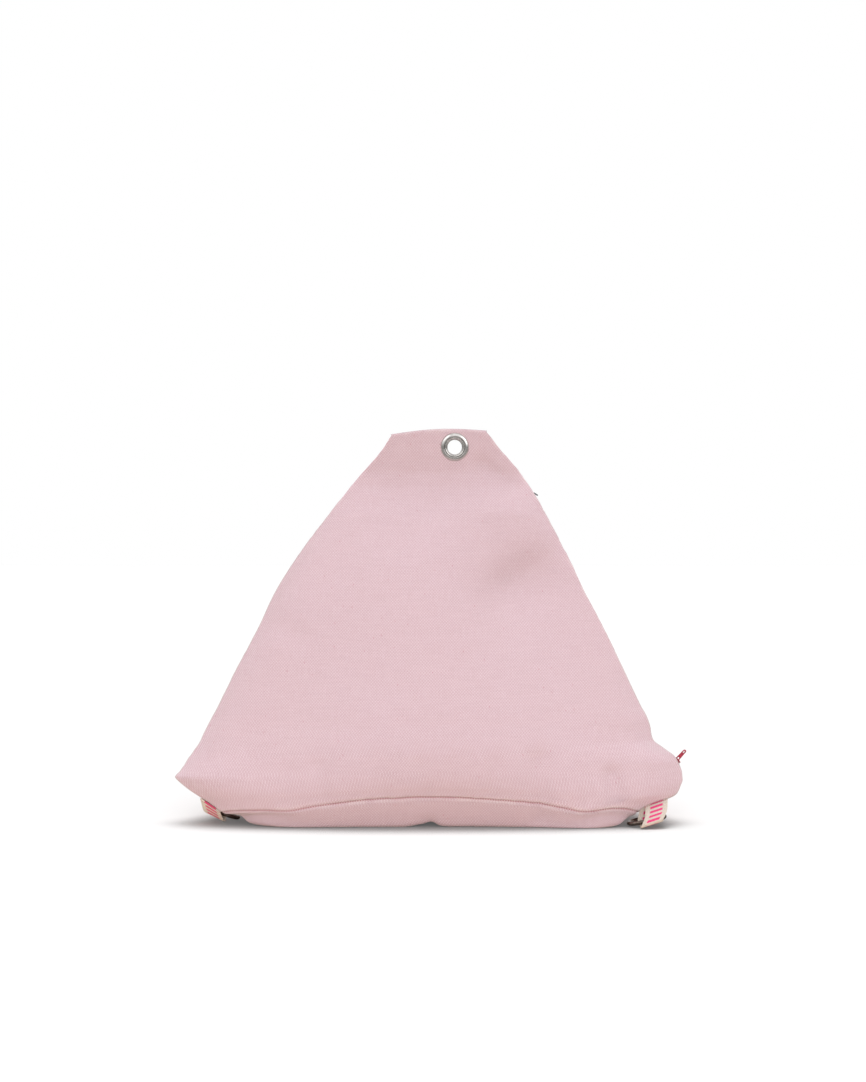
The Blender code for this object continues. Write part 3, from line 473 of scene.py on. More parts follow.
class Cover:
    """The pouf's cloth as rows of points from the floor to the top edge, each running once round from the
    middle of the left seam along the front, the right side and the left side."""

    def __init__(self):
        self.heights = row_heights()
        self.points = self.round_the_rows()
        self.rows, self.columns = self.points.shape[:2]

    def round_the_rows(self):
        """The level sections of the whole cloth, as rows of points through every panel and seam."""
        z = self.heights
        left, right, back, fill = (sampled(rows, z) for rows in (LEFT_SEAM, RIGHT_SEAM, BACK_SEAM, FILLING))
        half_left, half_right = (flat_vectors(0.0, seam.thickness / 2) for seam in (left, right))
        left_edge, right_edge = (flat_vectors(seam.x, seam.y) for seam in (left, right))
        left_corner, right_corner = (flat_vectors(x, fill.side_y) for x in (fill.left_x, fill.right_x))
        settled = flat_vectors(0.0, EDGE_SETTLE * self.below_top()[:, 0])
        back_right, back_left = (flat_vectors(back.x + side * back.half_width, back.y) for side in (1, -1))
        back_right_corner, back_left_corner = (
            flat_vectors(back.x + side * fill.back_half_width, fill.back_y) for side in (1, -1)
        )
        front = panel(
            (left_edge - half_left, right_edge - half_right),
            (left_corner - half_left + settled, right_corner - half_right + settled),
            (headings(-fill.front_angle), headings(180 + fill.front_angle)),
            FRONT_STEPS,
        )
        right_side = panel(
            (right_edge + half_right, back_right),
            (right_corner + half_right, back_right_corner),
            (headings(180 - fill.side_angle), headings(-fill.back_angle)),
            SIDE_STEPS,
        )
        left_side = panel(
            (back_left, left_edge + half_left),
            (back_left_corner, left_corner + half_left),
            (headings(180 + fill.back_angle), headings(fill.side_angle)),
            SIDE_STEPS,
        )
        side_share = np.linspace(0, 1, SIDE_STEPS + 1)
        side_rise = SIDE_SEAM_RISE * np.sin(math.pi * side_share) ** SIDE_SEAM_POWER
        right_side, left_side = (self.in_space(side, side_rise) for side in (right_side, left_side))
        front = self.in_space(front, monotone(FRONT_SEAM, "rise", np.linspace(0, 1, FRONT_STEPS + 1)))
        rolled = self.edge_roll(front)
        low = np.clip(1 - front[..., 2] / FRONT_SEAM_HEIGHT, 0, 1)
        for pucker in PUCKERS:
            front[..., 2] += pucker.lift * low * np.exp(-(((front[..., 0] - pucker.x) / pucker.width) ** 2))
        pressed = fold_depth(front[..., 0], front[..., 2])
        front[..., 1] += pressed * rolled - EDGE_ROLL * rolled * self.below_top()
        turn_right = self.turned_edge(front[:, -1], right_side[:, 0], 1)
        turn_left = self.turned_edge(left_side[:, -1], front[:, 0], -1)
        across = np.linspace(0, 1, BACK_STEPS + 1)[None, 1:-1, None]
        back_edge = right_side[:, -1:] * (1 - across) + left_side[:, :1] * across
        half = EDGE_STEPS // 2
        first, last = turn_left[:, half - 1:], turn_left[:, :half - 1]
        parts = [first, front, turn_right, right_side, back_edge, left_side, last]
        counts = np.cumsum([0] + [part.shape[1] for part in parts])
        self.left_seam = 0
        self.right_seam = int(counts[2]) + half - 1
        self.back_seam = int(counts[4]) + BACK_STEPS // 2 - 1
        self.front_first, self.front_last = int(counts[1]), int(counts[2]) - 1
        return np.concatenate(parts, axis=1)

    def in_space(self, sections, rises):
        """Level sections at their heights, lifted by the rises of the bottom seam under them."""
        z = self.heights[:, None]
        below = rises * z / FRONT_SEAM_HEIGHT
        above = rises * np.exp(-(z - FRONT_SEAM_HEIGHT) / RISE_FADE)
        z = z + np.where(z < FRONT_SEAM_HEIGHT, below, above)
        return np.concatenate([sections, z[..., None]], axis=2)

    def edge_roll(self, front):
        """Nothing at the front cloth's side seams, and 1 past where it rolls over to them."""
        x = front[..., 0]
        away = np.minimum(x - x[:, :1], x[:, -1:] - x)
        return 1 - np.exp(-np.maximum(away, 0) / EDGE_ROLL_REACH)

    def below_top(self):
        """1 for the rows of the filled body, fading to nothing towards the flat top corner."""
        return np.clip((EDGE_ROLL_TOP - self.heights) / EDGE_ROLL_FADE, 0, 1)[:, None]

    @staticmethod
    def turned_edge(first, last, outward):
        """The inner points of the rounded edge where one panel turns over to the next."""
        share = np.linspace(0, 1, EDGE_STEPS + 1)[1:-1][None, :, None]
        points = first[:, None] * (1 - share) + last[:, None] * share
        thickness = np.linalg.norm(last - first, axis=1)[:, None]
        points[..., 0] += outward * EDGE_ROUNDNESS * thickness * np.sin(math.pi * share[..., 0])
        return points

    def shape_top(self):
        """Arches the flat top corner's rows, and rounds its top edge over from front to back."""
        foot = (self.heights - TAB_FOOT_HEIGHT) / (TAB_TOP_HEIGHT - TAB_FOOT_HEIGHT)
        foot = np.clip(foot, 0, 1)[:, None]
        x = self.points[..., 0]
        start = x[:, self.front_first][:, None]
        share = np.clip((x - start) / (x[:, self.front_last][:, None] - start), 0, 1)
        self.points[..., 2] += foot * (TAB_TOP_RISE * np.sin(math.pi * share) + TAB_TOP_SLANT * (share - 0.5))
        last = self.points[-1]
        middle = (last[self.left_seam, 1] + last[self.right_seam, 1]) / 2
        for k in range(1, TOP_ROUNDING_ROWS + 1):
            angle = math.pi / 2 * k / (TOP_ROUNDING_ROWS + 0.1)
            row = last.copy()
            row[:, 1] = middle + (last[:, 1] - middle) * math.cos(angle)
            row[:, 2] += TOP_ROUNDING * math.sin(angle)
            self.points = np.concatenate([self.points, row[None]])
        self.rows = len(self.points)

    def normals(self):
        """The outward direction at every point of the rows."""
        along = np.roll(self.points, -1, axis=1) - np.roll(self.points, 1, axis=1)
        cross = np.cross(along, np.gradient(self.points, axis=0))
        return cross / np.maximum(np.linalg.norm(cross, axis=2, keepdims=True), 1e-12)

    def seam_lines(self):
        """The sewn lines by name, each a run of points."""
        bottom = int(np.argmin(np.abs(self.heights - FRONT_SEAM_HEIGHT)))
        return {
            "left": self.points[bottom:, self.left_seam],
            "right": self.points[bottom:, self.right_seam],
            "back": self.points[bottom:, self.back_seam],
            "bottom": np.concatenate([self.points[bottom], self.points[bottom, :1]]),
            "top": self.points[-1, self.front_first:self.front_last + 1],
        }

    def panel_map(self):
        """The cloth's own coordinates in metres for each panel: across from its middle, and up."""
        ends = (self.left_seam, self.right_seam, self.back_seam, self.columns)
        maps = []
        for first, last in zip(ends, ends[1:]):
            part = self.points[:, np.arange(first, last + 1) % self.columns]
            across = np.array([lengths_along(row) for row in part])
            across -= across[:, -1:] / 2
            maps.append((first, across, lengths_along(part[:, part.shape[1] // 2])))
        return maps


def fold_depth(x, z):
    """How far the front cloth is pressed in by its folds at points of the front face."""
    total = np.zeros_like(x)
    for fold in FRONT_FOLDS:
        along = np.array((fold.x1 - fold.x0, fold.z1 - fold.z0))
        off_x, off_z = x - fold.x0, z - fold.z0
        share = np.clip((off_x * along[0] + off_z * along[1]) / (along @ along), 0, 1)
        side_x, side_z = off_x - share * along[0], off_z - share * along[1]
        away = np.hypot(side_x, side_z)
        higher = 0.5 + 0.5 * np.clip(side_z / np.maximum(away, 1e-6), -1, 1)
        spread = fold.below + (fold.above - fold.below) * higher
        total += fold.depth * np.exp(-((away / spread) ** 2))
    return total


def lengths_along(line):
    return np.concatenate([[0.0], np.cumsum(np.linalg.norm(np.diff(line, axis=0), axis=1))])


def distances(points, line):
    """How far each point lies from a line, and how far along the line its nearest place is."""
    along = lengths_along(line)
    places = np.arange(0, along[-1], LINE_STEP)
    fine = np.stack([np.interp(places, along, line[:, k]) for k in range(3)], axis=1)
    tree = KDTree(len(fine))
    for i, p in enumerate(fine):
        tree.insert(p, i)
    tree.balance()
    found = [tree.find(p) for p in points]
    return np.array([f[2] for f in found]), np.array([places[f[1]] for f in found])


def wander(places, cell, seed):
    """A smooth random run of values from -1 to 1 along a line, with a new value every cell."""
    count = int(np.max(places) / cell) + 3
    values = np.random.default_rng(seed).uniform(-1, 1, count)
    i = (places / cell).astype(int)
    t = places / cell - i
    t = t * t * (3 - 2 * t)
    return values[i] * (1 - t) + values[i + 1] * t


def gathers(away, along, reach, seed):
    """Small puckers across a seam, deeper in some stretches than in others."""
    short = wander(along, GATHER_LENGTH, seed)
    short += SMALL_GATHER_SHARE * wander(along, SMALL_GATHER_LENGTH, seed + 1)
    stretch = 0.55 + 0.45 * wander(along, GATHER_STRETCH, seed + 2)
    return short * stretch * np.exp(-away / reach)


def sew(cover):
    """Sinks the seams, swells and gathers the cloth beside them, and tells how far each point is from one."""
    normals = cover.normals().reshape(-1, 3)
    points = cover.points.reshape(-1, 3)
    moved = np.zeros(len(points))
    nearest = np.full(len(points), 1.0)
    for seed, (name, line) in enumerate(cover.seam_lines().items()):
        away, along = distances(points, line)
        settings = SEAMS[name]
        stitches = 0.5 + 0.5 * np.cos(2 * math.pi * along / STITCH_PITCH)
        sink = (settings.sink + STITCH_DEPTH * stitches) * np.exp(-((away / SEAM_SINK_SPREAD) ** 2))
        swell = settings.swell * np.exp(-(((away - SEAM_SWELL_OFFSET) / SEAM_SWELL_SPREAD) ** 2))
        moved += swell - sink + settings.gather * gathers(away, along, settings.reach, 10 * seed)
        nearest = np.minimum(nearest, away)
    uneven = np.array([noise.fractal(Vector(p) / UNEVEN_SIZE, 1.0, 2.0, 2) for p in points])
    moved += UNEVEN_HEIGHT * uneven * np.clip(nearest / SEAM_SWELL_OFFSET, 0, 1)
    moved *= np.clip((TAB_TOP_HEIGHT - points[:, 2]) / TOP_CALM, 0, 1)
    points = points + normals * moved[:, None]
    points[:, 2] = np.maximum(points[:, 2], 0.0)
    cover.points = points.reshape(cover.points.shape)
    return nearest


def build_cover(material):
    """The filled cover in one closed mesh, before the eyelet's hole is cut."""
    cover = Cover()
    cover.shape_top()
    maps = cover.panel_map()
    seam_away = sew(cover)
    rows, columns = cover.rows, cover.columns
    base = cover.points[0]
    middle = base.mean(axis=0)
    inner_rings = [middle + (base - middle) * (1 - k / BOTTOM_RINGS) for k in range(1, BOTTOM_RINGS)]
    vertices = np.concatenate([cover.points.reshape(-1, 3), *inner_rings, middle[None]]) - CENTRE
    faces, uv = [], []
    for first, across, up in maps:
        for r in range(rows - 1):
            for c in range(across.shape[1] - 1):
                cell = ((r, c), (r, c + 1), (r + 1, c + 1), (r + 1, c))
                faces.append([i * columns + (first + j) % columns for i, j in cell])
                uv += [(across[i, j], up[i]) for i, j in cell]
    top = [(rows - 1) * columns + c for c in range(columns)]
    faces.append(top)
    uv += [(vertices[i][0], vertices[i][2]) for i in top]
    ring_starts = [0] + [(rows + k) * columns for k in range(BOTTOM_RINGS - 1)]
    for outer, inner in zip(ring_starts, ring_starts[1:] + [None]):
        for c in range(columns):
            d = (c + 1) % columns
            ends = [len(vertices) - 1] if inner is None else [inner + c, inner + d]
            faces.append([outer + d, outer + c] + ends)
            uv += [(vertices[i][0], vertices[i][1]) for i in faces[-1]]
    mesh = bpy.data.meshes.new("pouf_cover")
    mesh.from_pydata(vertices.tolist(), [], faces)
    mesh.uv_layers.new(name=CLOTH_MAP).uv.foreach_set("vector", np.array(uv, np.float32).ravel())
    away = np.full(len(vertices), 1.0, np.float32)
    away[:len(seam_away)] = seam_away
    mesh.attributes.new(SEAM_AWAY, "FLOAT", "POINT").data.foreach_set("value", away)
    mesh.shade_smooth()
    return finish_piece("pouf_cover", mesh, material, "canvas", "pouf_body", "top_tab")


def add_object(name, data):
    """A new object in the scene."""
    made = bpy.data.objects.new(name, data)
    bpy.context.scene.collection.objects.link(made)
    return made


def finish_piece(name, mesh, material, slot, *nodes):
    """A piece of the pouf from its mesh, standing for the CAD nodes that are named."""
    mesh.materials.clear()
    mesh.materials.append(material)
    piece = add_object(name, mesh)
    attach(piece, "root")
    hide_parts(*nodes)
    return piece


def finish_mesh(name, bm, smooth_degrees=None):
    """The mesh of a bmesh, shaded smooth up to an angle where one is given."""
    mesh = bpy.data.meshes.new(name)
    bm.to_mesh(mesh)
    bm.free()
    if smooth_degrees:
        mesh.shade_smooth()
        mesh.set_sharp_from_angle(angle=math.radians(smooth_degrees))
    return mesh


def cut_out(piece, cutter):
    """Cuts the cutter's shape out of a piece and removes the cutter."""
    cut = piece.modifiers.new("cut", "BOOLEAN")
    cut.operation = "DIFFERENCE"
    cut.object = cutter
    bpy.context.view_layer.update()
    result = bpy.data.meshes.new_from_object(piece.evaluated_get(bpy.context.evaluated_depsgraph_get()))
    piece.modifiers.clear()
    old = piece.data
    piece.data = result
    result.name = piece.name
    bpy.data.meshes.remove(old)
    bpy.data.objects.remove(cutter)


def eyelet_cutter():
    """A guide in the shape of a round rod from front to back through the eyelet."""
    bm = bmesh.new()
    turn = Vector((0, 1, 0)).to_track_quat("Z", "Y").to_matrix().to_4x4()
    bmesh.ops.create_cone(
        bm, cap_ends=True, segments=EYELET_STEPS, radius1=CLOTH_HOLE_RADIUS, radius2=CLOTH_HOLE_RADIUS,
        depth=CLOTH_HOLE_DEPTH, matrix=Matrix.Translation(EYELET_CENTRE) @ turn,
    )
    return add_object("cutter", finish_mesh("cutter", bm))


def loft(name, rings, closed, smooth_degrees=50, maps=None):
    """A closed mesh through rings of equal numbers of points, capped at both ends or closed on itself. Maps
    give the cloth's own coordinates for each point of the rings."""
    bm = bmesh.new()
    layer = bm.loops.layers.uv.new(CLOTH_MAP) if maps else None
    rows = [[bm.verts.new(p) for p in ring] for ring in rings]
    count, last = len(rings[0]), len(rings) - 1
    faces = []
    for low in range(last + closed):
        high = (low + 1) % len(rings)
        for i in range(count):
            j = (i + 1) % count
            faces.append(((low, i), (low, j), (high, j), (high, i)))
    if not closed:
        faces += [[(end, i) for i in range(count)] for end in (0, last)]
    for corners in faces:
        face = bm.faces.new([rows[r][c] for r, c in corners])
        if maps:
            for loop, (r, c) in zip(face.loops, corners):
                loop[layer].uv = maps[r][c]
    bmesh.ops.recalc_face_normals(bm, faces=bm.faces)
    return finish_mesh(name, bm, smooth_degrees)


def smooth_run(rows, steps, closed=False):
    """A smooth run of points through the rows of a table of numbers."""
    points = []
    count = len(rows)
    for i in range(count if closed else count - 1):
        picks = [k % count if closed else max(0, min(count - 1, k)) for k in (i - 1, i, i + 1, i + 2)]
        before, start, end, after = (Vector(rows[k]) for k in picks)
        for j in range(steps):
            t = j / steps
            points.append(
                start
                + (end - before) * (t / 2)
                + (before * 2 - start * 5 + end * 4 - after) * (t * t / 2)
                + (start * 3 - before - end * 3 + after) * (t**3 / 2)
            )
    if not closed:
        points.append(Vector(rows[-1]))
    return points


def build_turned(name, profile, smooth_steps, material, node):
    """A ring turned about the eyelet's axis from a profile of radii and distances to the front."""
    path = smooth_run(profile, smooth_steps, closed=True)
    rings = []
    for i in range(EYELET_STEPS):
        angle = 2 * math.pi * i / EYELET_STEPS
        out = Vector((math.cos(angle), 0, math.sin(angle)))
        rings.append([EYELET_CENTRE + out * p.x + Vector((0, -p.y, 0)) for p in path])
    finish_piece(name, loft(name, rings, closed=True, smooth_degrees=70), material, "nickel", node)


def build_loop(name, rows, seat, material, node):
    """A loop of webbing, with the map that its weave and bars follow: across it and along it."""
    path = smooth_run(rows, LOOP_STEPS)
    rings, maps, along = [], [], 0.0
    for i, p in enumerate(path):
        ahead = path[min(i + 1, len(path) - 1)] - path[max(i - 1, 0)]
        out = Vector((0, -ahead.y, ahead.x)).normalized()
        share = max(0.0, min(1.0, p.z))
        width = WEBBING_WIDTH + (WEBBING_LOW_WIDTH - WEBBING_WIDTH) * share
        across = seat.across_top.lerp(seat.across_low, share).normalized()
        middle = seat.sewn + seat.low_shift * share + Vector((0, p.x, p.y)) - Vector(CENTRE)
        middle += across * p.w
        if i:
            along += (path[i] - path[i - 1]).to_2d().length
        ring, ring_map = [], []
        for side in (1, -1):
            for k in range(WEBBING_STEPS + 1):
                t = side * (2 * k / WEBBING_STEPS - 1)
                edge = math.sqrt(max(0.0, 1 - abs(t) ** WEBBING_EDGE_POWER))
                half = WEBBING_THICKNESS / 2 * (WEBBING_EDGE_THICKNESS + (1 - WEBBING_EDGE_THICKNESS) * edge)
                ring.append(middle + across * (t * width / 2) + out * (side * half))
                ring_map.append((t * width / 2, along))
        rings.append(ring)
        maps.append(ring_map)
    mesh = loft(name, rings, closed=False, smooth_degrees=60, maps=maps)
    piece = finish_piece(name, mesh, material, "webbing", node)


def build_ring(name, seat, material, node):
    """A closed oval ring of round wire with its short way level and pointing back."""
    wire = RING_WIRE / 2
    bend = (RING_WIDTH - RING_WIRE) / 2
    straight = (RING_LENGTH - RING_WIDTH) / 2
    along = seat.long_axis.normalized()
    across = Vector((0, 0, 1)).cross(along).normalized()
    up = along.cross(across)
    turns = [2 * math.pi * k / RING_SIDES for k in range(RING_SIDES)]
    rings = []
    for end in (0, 1):
        for i in range(RING_ARC_STEPS + 1):
            angle = math.pi * (end + i / RING_ARC_STEPS) - math.pi / 2
            out = along * math.cos(angle) + across * math.sin(angle)
            middle = seat.centre - Vector(CENTRE) + along * (straight * (1 - 2 * end)) + out * bend
            rings.append([middle + out * (wire * math.cos(a)) + up * (wire * math.sin(a)) for a in turns])
    finish_piece(name, loft(name, rings, closed=True), material, "nickel", node)


def plate(outlines, thickness, bevel, place):
    """A flat plate with bevelled edges from its outline and the outlines of its holes, in millimetres."""
    curve = bpy.data.curves.new("outline", "CURVE")
    curve.dimensions = "2D"
    curve.fill_mode = "BOTH"
    curve.extrude = thickness / 2 - bevel
    curve.bevel_depth = bevel
    curve.bevel_resolution = 2
    curve.offset = -bevel
    for outline in outlines:
        spline = curve.splines.new("POLY")
        spline.points.add(len(outline) - 1)
        for point, (x, y) in zip(spline.points, outline):
            point.co = (x, y, 0, 1)
        spline.use_cyclic_u = True
    holder = bpy.data.objects.new("outline", curve)
    mesh = bpy.data.meshes.new_from_object(holder)
    bpy.data.objects.remove(holder)
    bpy.data.curves.remove(curve)
    mesh.transform(place @ Matrix.Scale(0.001, 4))
    bm = bmesh.new()
    bm.from_mesh(mesh)
    bpy.data.meshes.remove(mesh)
    bmesh.ops.remove_doubles(bm, verts=bm.verts, dist=1e-6)
    bmesh.ops.recalc_face_normals(bm, faces=bm.faces)
    return finish_mesh("plate", bm)


def capsule(start, start_width, end, end_width):
    """The outline of a flat bar with round ends, along X, in millimetres."""
    outline = []
    ends = ((end - end_width / 2, end_width, -90), (start + start_width / 2, start_width, 90))
    for middle, width, first in ends:
        for i in range(PLATE_ARC_STEPS + 1):
            angle = math.radians(first + 180 * i / PLATE_ARC_STEPS)
            outline.append((middle + width / 2 * math.cos(angle), width / 2 * math.sin(angle)))
    return outline


def standing(origin, along, facing):
    """The matrix whose X runs along and whose Z looks the way that is faced, from an origin."""
    x = along.normalized()
    z = (facing - x * facing.dot(x)).normalized()
    turn = Matrix((x, z.cross(x), z)).transposed().to_4x4()
    return Matrix.Translation(origin - Vector(CENTRE)) @ turn


def build_plates(name, plates, material, slot, node):
    """A piece made of one or more flat plates."""
    bm = bmesh.new()
    for mesh in plates:
        bm.from_mesh(mesh)
        bpy.data.meshes.remove(mesh)
    finish_piece(name, finish_mesh(name, bm, 35), material, slot, node)


def seam_point(height):
    """The outer edge of the right seam on its back side."""
    x, y, thickness = (value_at(RIGHT_SEAM, name, height) for name in ("x", "y", "thickness"))
    return Vector((x, y + thickness / 2, height))


def build_zip_parts(crimson, steel):
    """The slider and its pull at the foot of the right seam, and the end stop near its top."""
    reach = SLIDER_LENGTH / 2
    along = (seam_point(SLIDER_HEIGHT + reach) - seam_point(SLIDER_HEIGHT - reach)).normalized()
    side = Vector((*headings(180 - value_at(FILLING, "side_angle", SLIDER_HEIGHT)), 0.0))
    along = (along - side.cross(along) * SLIDER_TILT).normalized()
    out = side.cross(along).normalized()
    middle = seam_point(SLIDER_HEIGHT) + side * SLIDER_SET_BACK + out * (SLIDER_THICKNESS / 2 + SLIDER_LIFT)
    body = [
        plate([capsule(-4.0, 4.6, 2.8, 3.8)], 0.8, 0.25, standing(middle + out * offset, along, out))
        for offset in (SLIDER_PLATE_OFFSET, -SLIDER_PLATE_OFFSET)
    ]
    body.append(plate([capsule(-1.4, 1.6, 2.2, 1.6)], 1.4, 0.10, standing(middle, along, out)))
    build_plates("zip_slider_body", body, crimson, "crimson", "zip_slider")
    slots = [capsule(0.9, 2.1, 5.5, 1.6), capsule(12.2, 1.0, 14.8, 1.0)]
    tab = [capsule(0.0, 4.4, PULL_LENGTH * 1000, 3.6)] + slots
    tab = plate(tab, 1.2, 0.25, standing(PULL_FOOT, PULL_WAY, PULL_FACING))
    build_plates("zip_pull_tab", [tab], crimson, "crimson", "zip_pull")
    start = seam_point(STOP_HEIGHT) + STOP_OFFSET
    stop = capsule(0.0, 1.6, STOP_REACH.length * 1000, 1.6)
    stop = plate([stop], 1.2, 0.3, standing(start, STOP_REACH, STOP_FACING))
    build_plates("zip_end_stop", [stop], steel, "steel", "zip_stop")


class Recipe:
    """The nodes of a material or a world, with short ways to add and join them."""

    def __init__(self, owner):
        owner.use_nodes = True
        self.owner = owner
        self.tree = owner.node_tree
        self.tree.nodes.clear()

    def feed(self, socket, value):
        """Links a socket to another one, or sets it to a value."""
        if isinstance(value, bpy.types.NodeSocket):
            self.tree.links.new(value, socket)
        else:
            socket.default_value = value

    def add(self, kind, inputs=None, **settings):
        node = self.tree.nodes.new(kind)
        for name, value in settings.items():
            setattr(node, name, value)
        for name, value in (inputs or {}).items():
            self.feed(node.inputs[name], value)
        return node

    def sum(self, operation, a, b=0.0):
        """One step of arithmetic on numbers."""
        node = self.add("ShaderNodeMath", operation=operation)
        for socket, value in zip(node.inputs, (a, b)):
            self.feed(socket, value)
        return node.outputs[0]

    def times(self, a, b):
        return self.sum("MULTIPLY", a, b)

    def ranged(self, value, low, high, out_low=0.0, out_high=1.0):
        """A value taken smoothly from one range to another."""
        names = ("Value", "From Min", "From Max", "To Min", "To Max")
        inputs = dict(zip(names, (value, low, high, out_low, out_high)))
        return self.add("ShaderNodeMapRange", inputs, interpolation_type="SMOOTHSTEP").outputs["Result"]

    def mixed(self, share, a, b):
        """Two colours mixed by a share."""
        node = self.add("ShaderNodeMix", data_type="RGBA")
        for socket, value in ((0, share), (6, a), (7, b)):
            self.feed(node.inputs[socket], value)
        return node.outputs[2]

    def toned(self, tone, low, high, colours):
        """From the darker to the lighter of two colours where a tone goes from low to high."""
        return self.mixed(self.ranged(tone, low, high), *colours)

    def place(self, x, y, z=0.0):
        """A vector from three numbers."""
        return self.add("ShaderNodeCombineXYZ", {"X": x, "Y": y, "Z": z}).outputs[0]

    def body(self):
        """The place on the object itself."""
        return self.add("ShaderNodeTexCoord").outputs["Object"]

    def clouds(self, where, scale, detail=2.0, roughness=0.5):
        """Smooth noise between 0 and 1."""
        inputs = {"Vector": where, "Scale": scale, "Detail": detail, "Roughness": roughness}
        return self.add("ShaderNodeTexNoise", inputs).outputs["Fac"]

    def crests(self, u, v, across=2.0, up=2.0):
        """Humps and hollows in rows both ways, from -1 to 1, with waves so many units long."""
        lengths = ((u, across), (v, up))
        waves = [self.sum("SINE", self.times(value, math.tau / length)) for value, length in lengths]
        return self.times(*waves)

    def yarn_height(self, crossing):
        """How high the yarns stand, from 0 in the gaps between their crossings to 1 on top of them."""
        return self.sum("POWER", self.sum("ABSOLUTE", crossing), 0.6)

    def bumped(self, height, distance):
        """Small relief from a height of 0 to 1."""
        inputs = {"Height": height, "Distance": distance, "Strength": 1.0}
        return self.add("ShaderNodeBump", inputs).outputs["Normal"]

    def finish(self, **values):
        """Shades the surface, with _ for a space in the names of the shader's sockets."""
        inputs = {name.replace("_", " "): value for name, value in values.items()}
        surface = self.add("ShaderNodeBsdfPrincipled", inputs)
        self.add("ShaderNodeOutputMaterial", {"Surface": surface.outputs["BSDF"]})
        return self.owner


def new_material(name):
    return Recipe(bpy.data.materials.new(name))


def cloth_place(recipe):
    """The two coordinates of the cloth's own map, in metres."""
    uv = recipe.add("ShaderNodeUVMap", uv_map=CLOTH_MAP).outputs[0]
    parts = recipe.add("ShaderNodeSeparateXYZ", {"Vector": uv})
    return parts.outputs["X"], parts.outputs["Y"]


def make_canvas():
    """Pink canvas in plain weave: pale yarns one way and rose yarns the other, uneven, with dark specks."""
    r = new_material("pink_canvas")
    across, up = cloth_place(r)
    away = r.add("ShaderNodeAttribute", attribute_name=SEAM_AWAY).outputs["Fac"]
    body = r.body()
    u = r.sum("DIVIDE", across, YARN_ACROSS)
    v = r.sum("DIVIDE", up, YARN_UP)
    crossing = r.crests(u, v)
    warp_tone = r.clouds(r.place(r.sum("FLOOR", u), r.times(v, 0.035)), 1.0, 1.0)
    weft_tone = r.clouds(r.place(r.times(u, 0.035), r.sum("FLOOR", v), 7.3), 1.0, 1.0)
    warp = r.toned(warp_tone, 0.25, 0.75, WARP)
    weft = r.toned(weft_tone, 0.25, 0.75, WEFT)
    colour = r.mixed(r.ranged(crossing, -0.22, 0.22), weft, warp)
    height = r.yarn_height(crossing)
    # Painted shade in the gaps between the yarns.
    colour = r.mixed(r.ranged(height, 0.0, 0.55, WEAVE_GAP_SHADE, 0.0), colour, GAP_SHADE_AND_DOT_COLOUR)
    proud = r.crests(u, v, DOT_ACROSS, DOT_UP)
    colour = r.mixed(r.ranged(proud, -0.5, 0.5, DOT_SHADE, 0.0), colour, GAP_SHADE_AND_DOT_COLOUR)
    specks = r.add("ShaderNodeTexVoronoi", {"Vector": r.place(u, r.times(v, 0.45)), "Scale": 0.16})
    chosen = r.add("ShaderNodeSeparateColor", {"Color": specks.outputs["Color"]})
    rare = r.sum("GREATER_THAN", chosen.outputs["Red"], 0.80)
    speck = r.times(rare, r.ranged(specks.outputs["Distance"], 0.07, 0.14, 1.0, 0.0))
    colour = r.mixed(r.times(speck, SPECK_SHARE), colour, SPECK_COLOUR)
    tone = r.clouds(body, 9.0, 3.0)
    colour = r.mixed(r.ranged(tone, 0.3, 0.7, 0.0, 0.05), colour, STAIN_COLOUR)
    worn = r.ranged(r.clouds(body, 60.0), 0.45, 0.65)
    edge = r.times(r.ranged(away, 0.0015, 0.0060, 1.0, 0.0), worn)
    colour = r.mixed(r.times(edge, 0.18), colour, WORN_COLOUR)
    # Painted shade and sheen: the cloth turns darker and greyer where it is seen edge on.
    edge_on_shade_and_sheen = r.ranged(r.add("ShaderNodeLayerWeight", {"Blend": 0.5}).outputs["Facing"], 0.25, 0.92)
    colour = r.mixed(r.times(edge_on_shade_and_sheen, EDGE_ON_SHADE_AND_SHEEN_SHARE), colour, EDGE_ON_SHADE_AND_SHEEN_COLOUR)
    # The sewn lines' stitches, darkened further with painted shade in the sunk groove.
    bead = r.ranged(r.sum("PINGPONG", across, STITCH_PITCH / 2), 0.0002, 0.0009, 0.20, 1.0)
    seam = r.times(bead, r.ranged(away, 0.0003, 0.0014, SEAM_SHADE, 0.0))
    colour = r.mixed(seam, colour, SEAM_STITCH_AND_SHADE_COLOUR)
    lumps = r.clouds(r.place(u, v), 0.6, 3.0)
    return r.finish(
        Base_Color=colour,
        Roughness=0.92,
        Specular_IOR_Level=0.12,
        Normal=r.bumped(r.sum("ADD", height, r.times(lumps, 0.6)), 0.00022),
        Sheen_Weight=0.30,
        Sheen_Roughness=0.45,
        Sheen_Tint=SHEEN_TINT,
    )


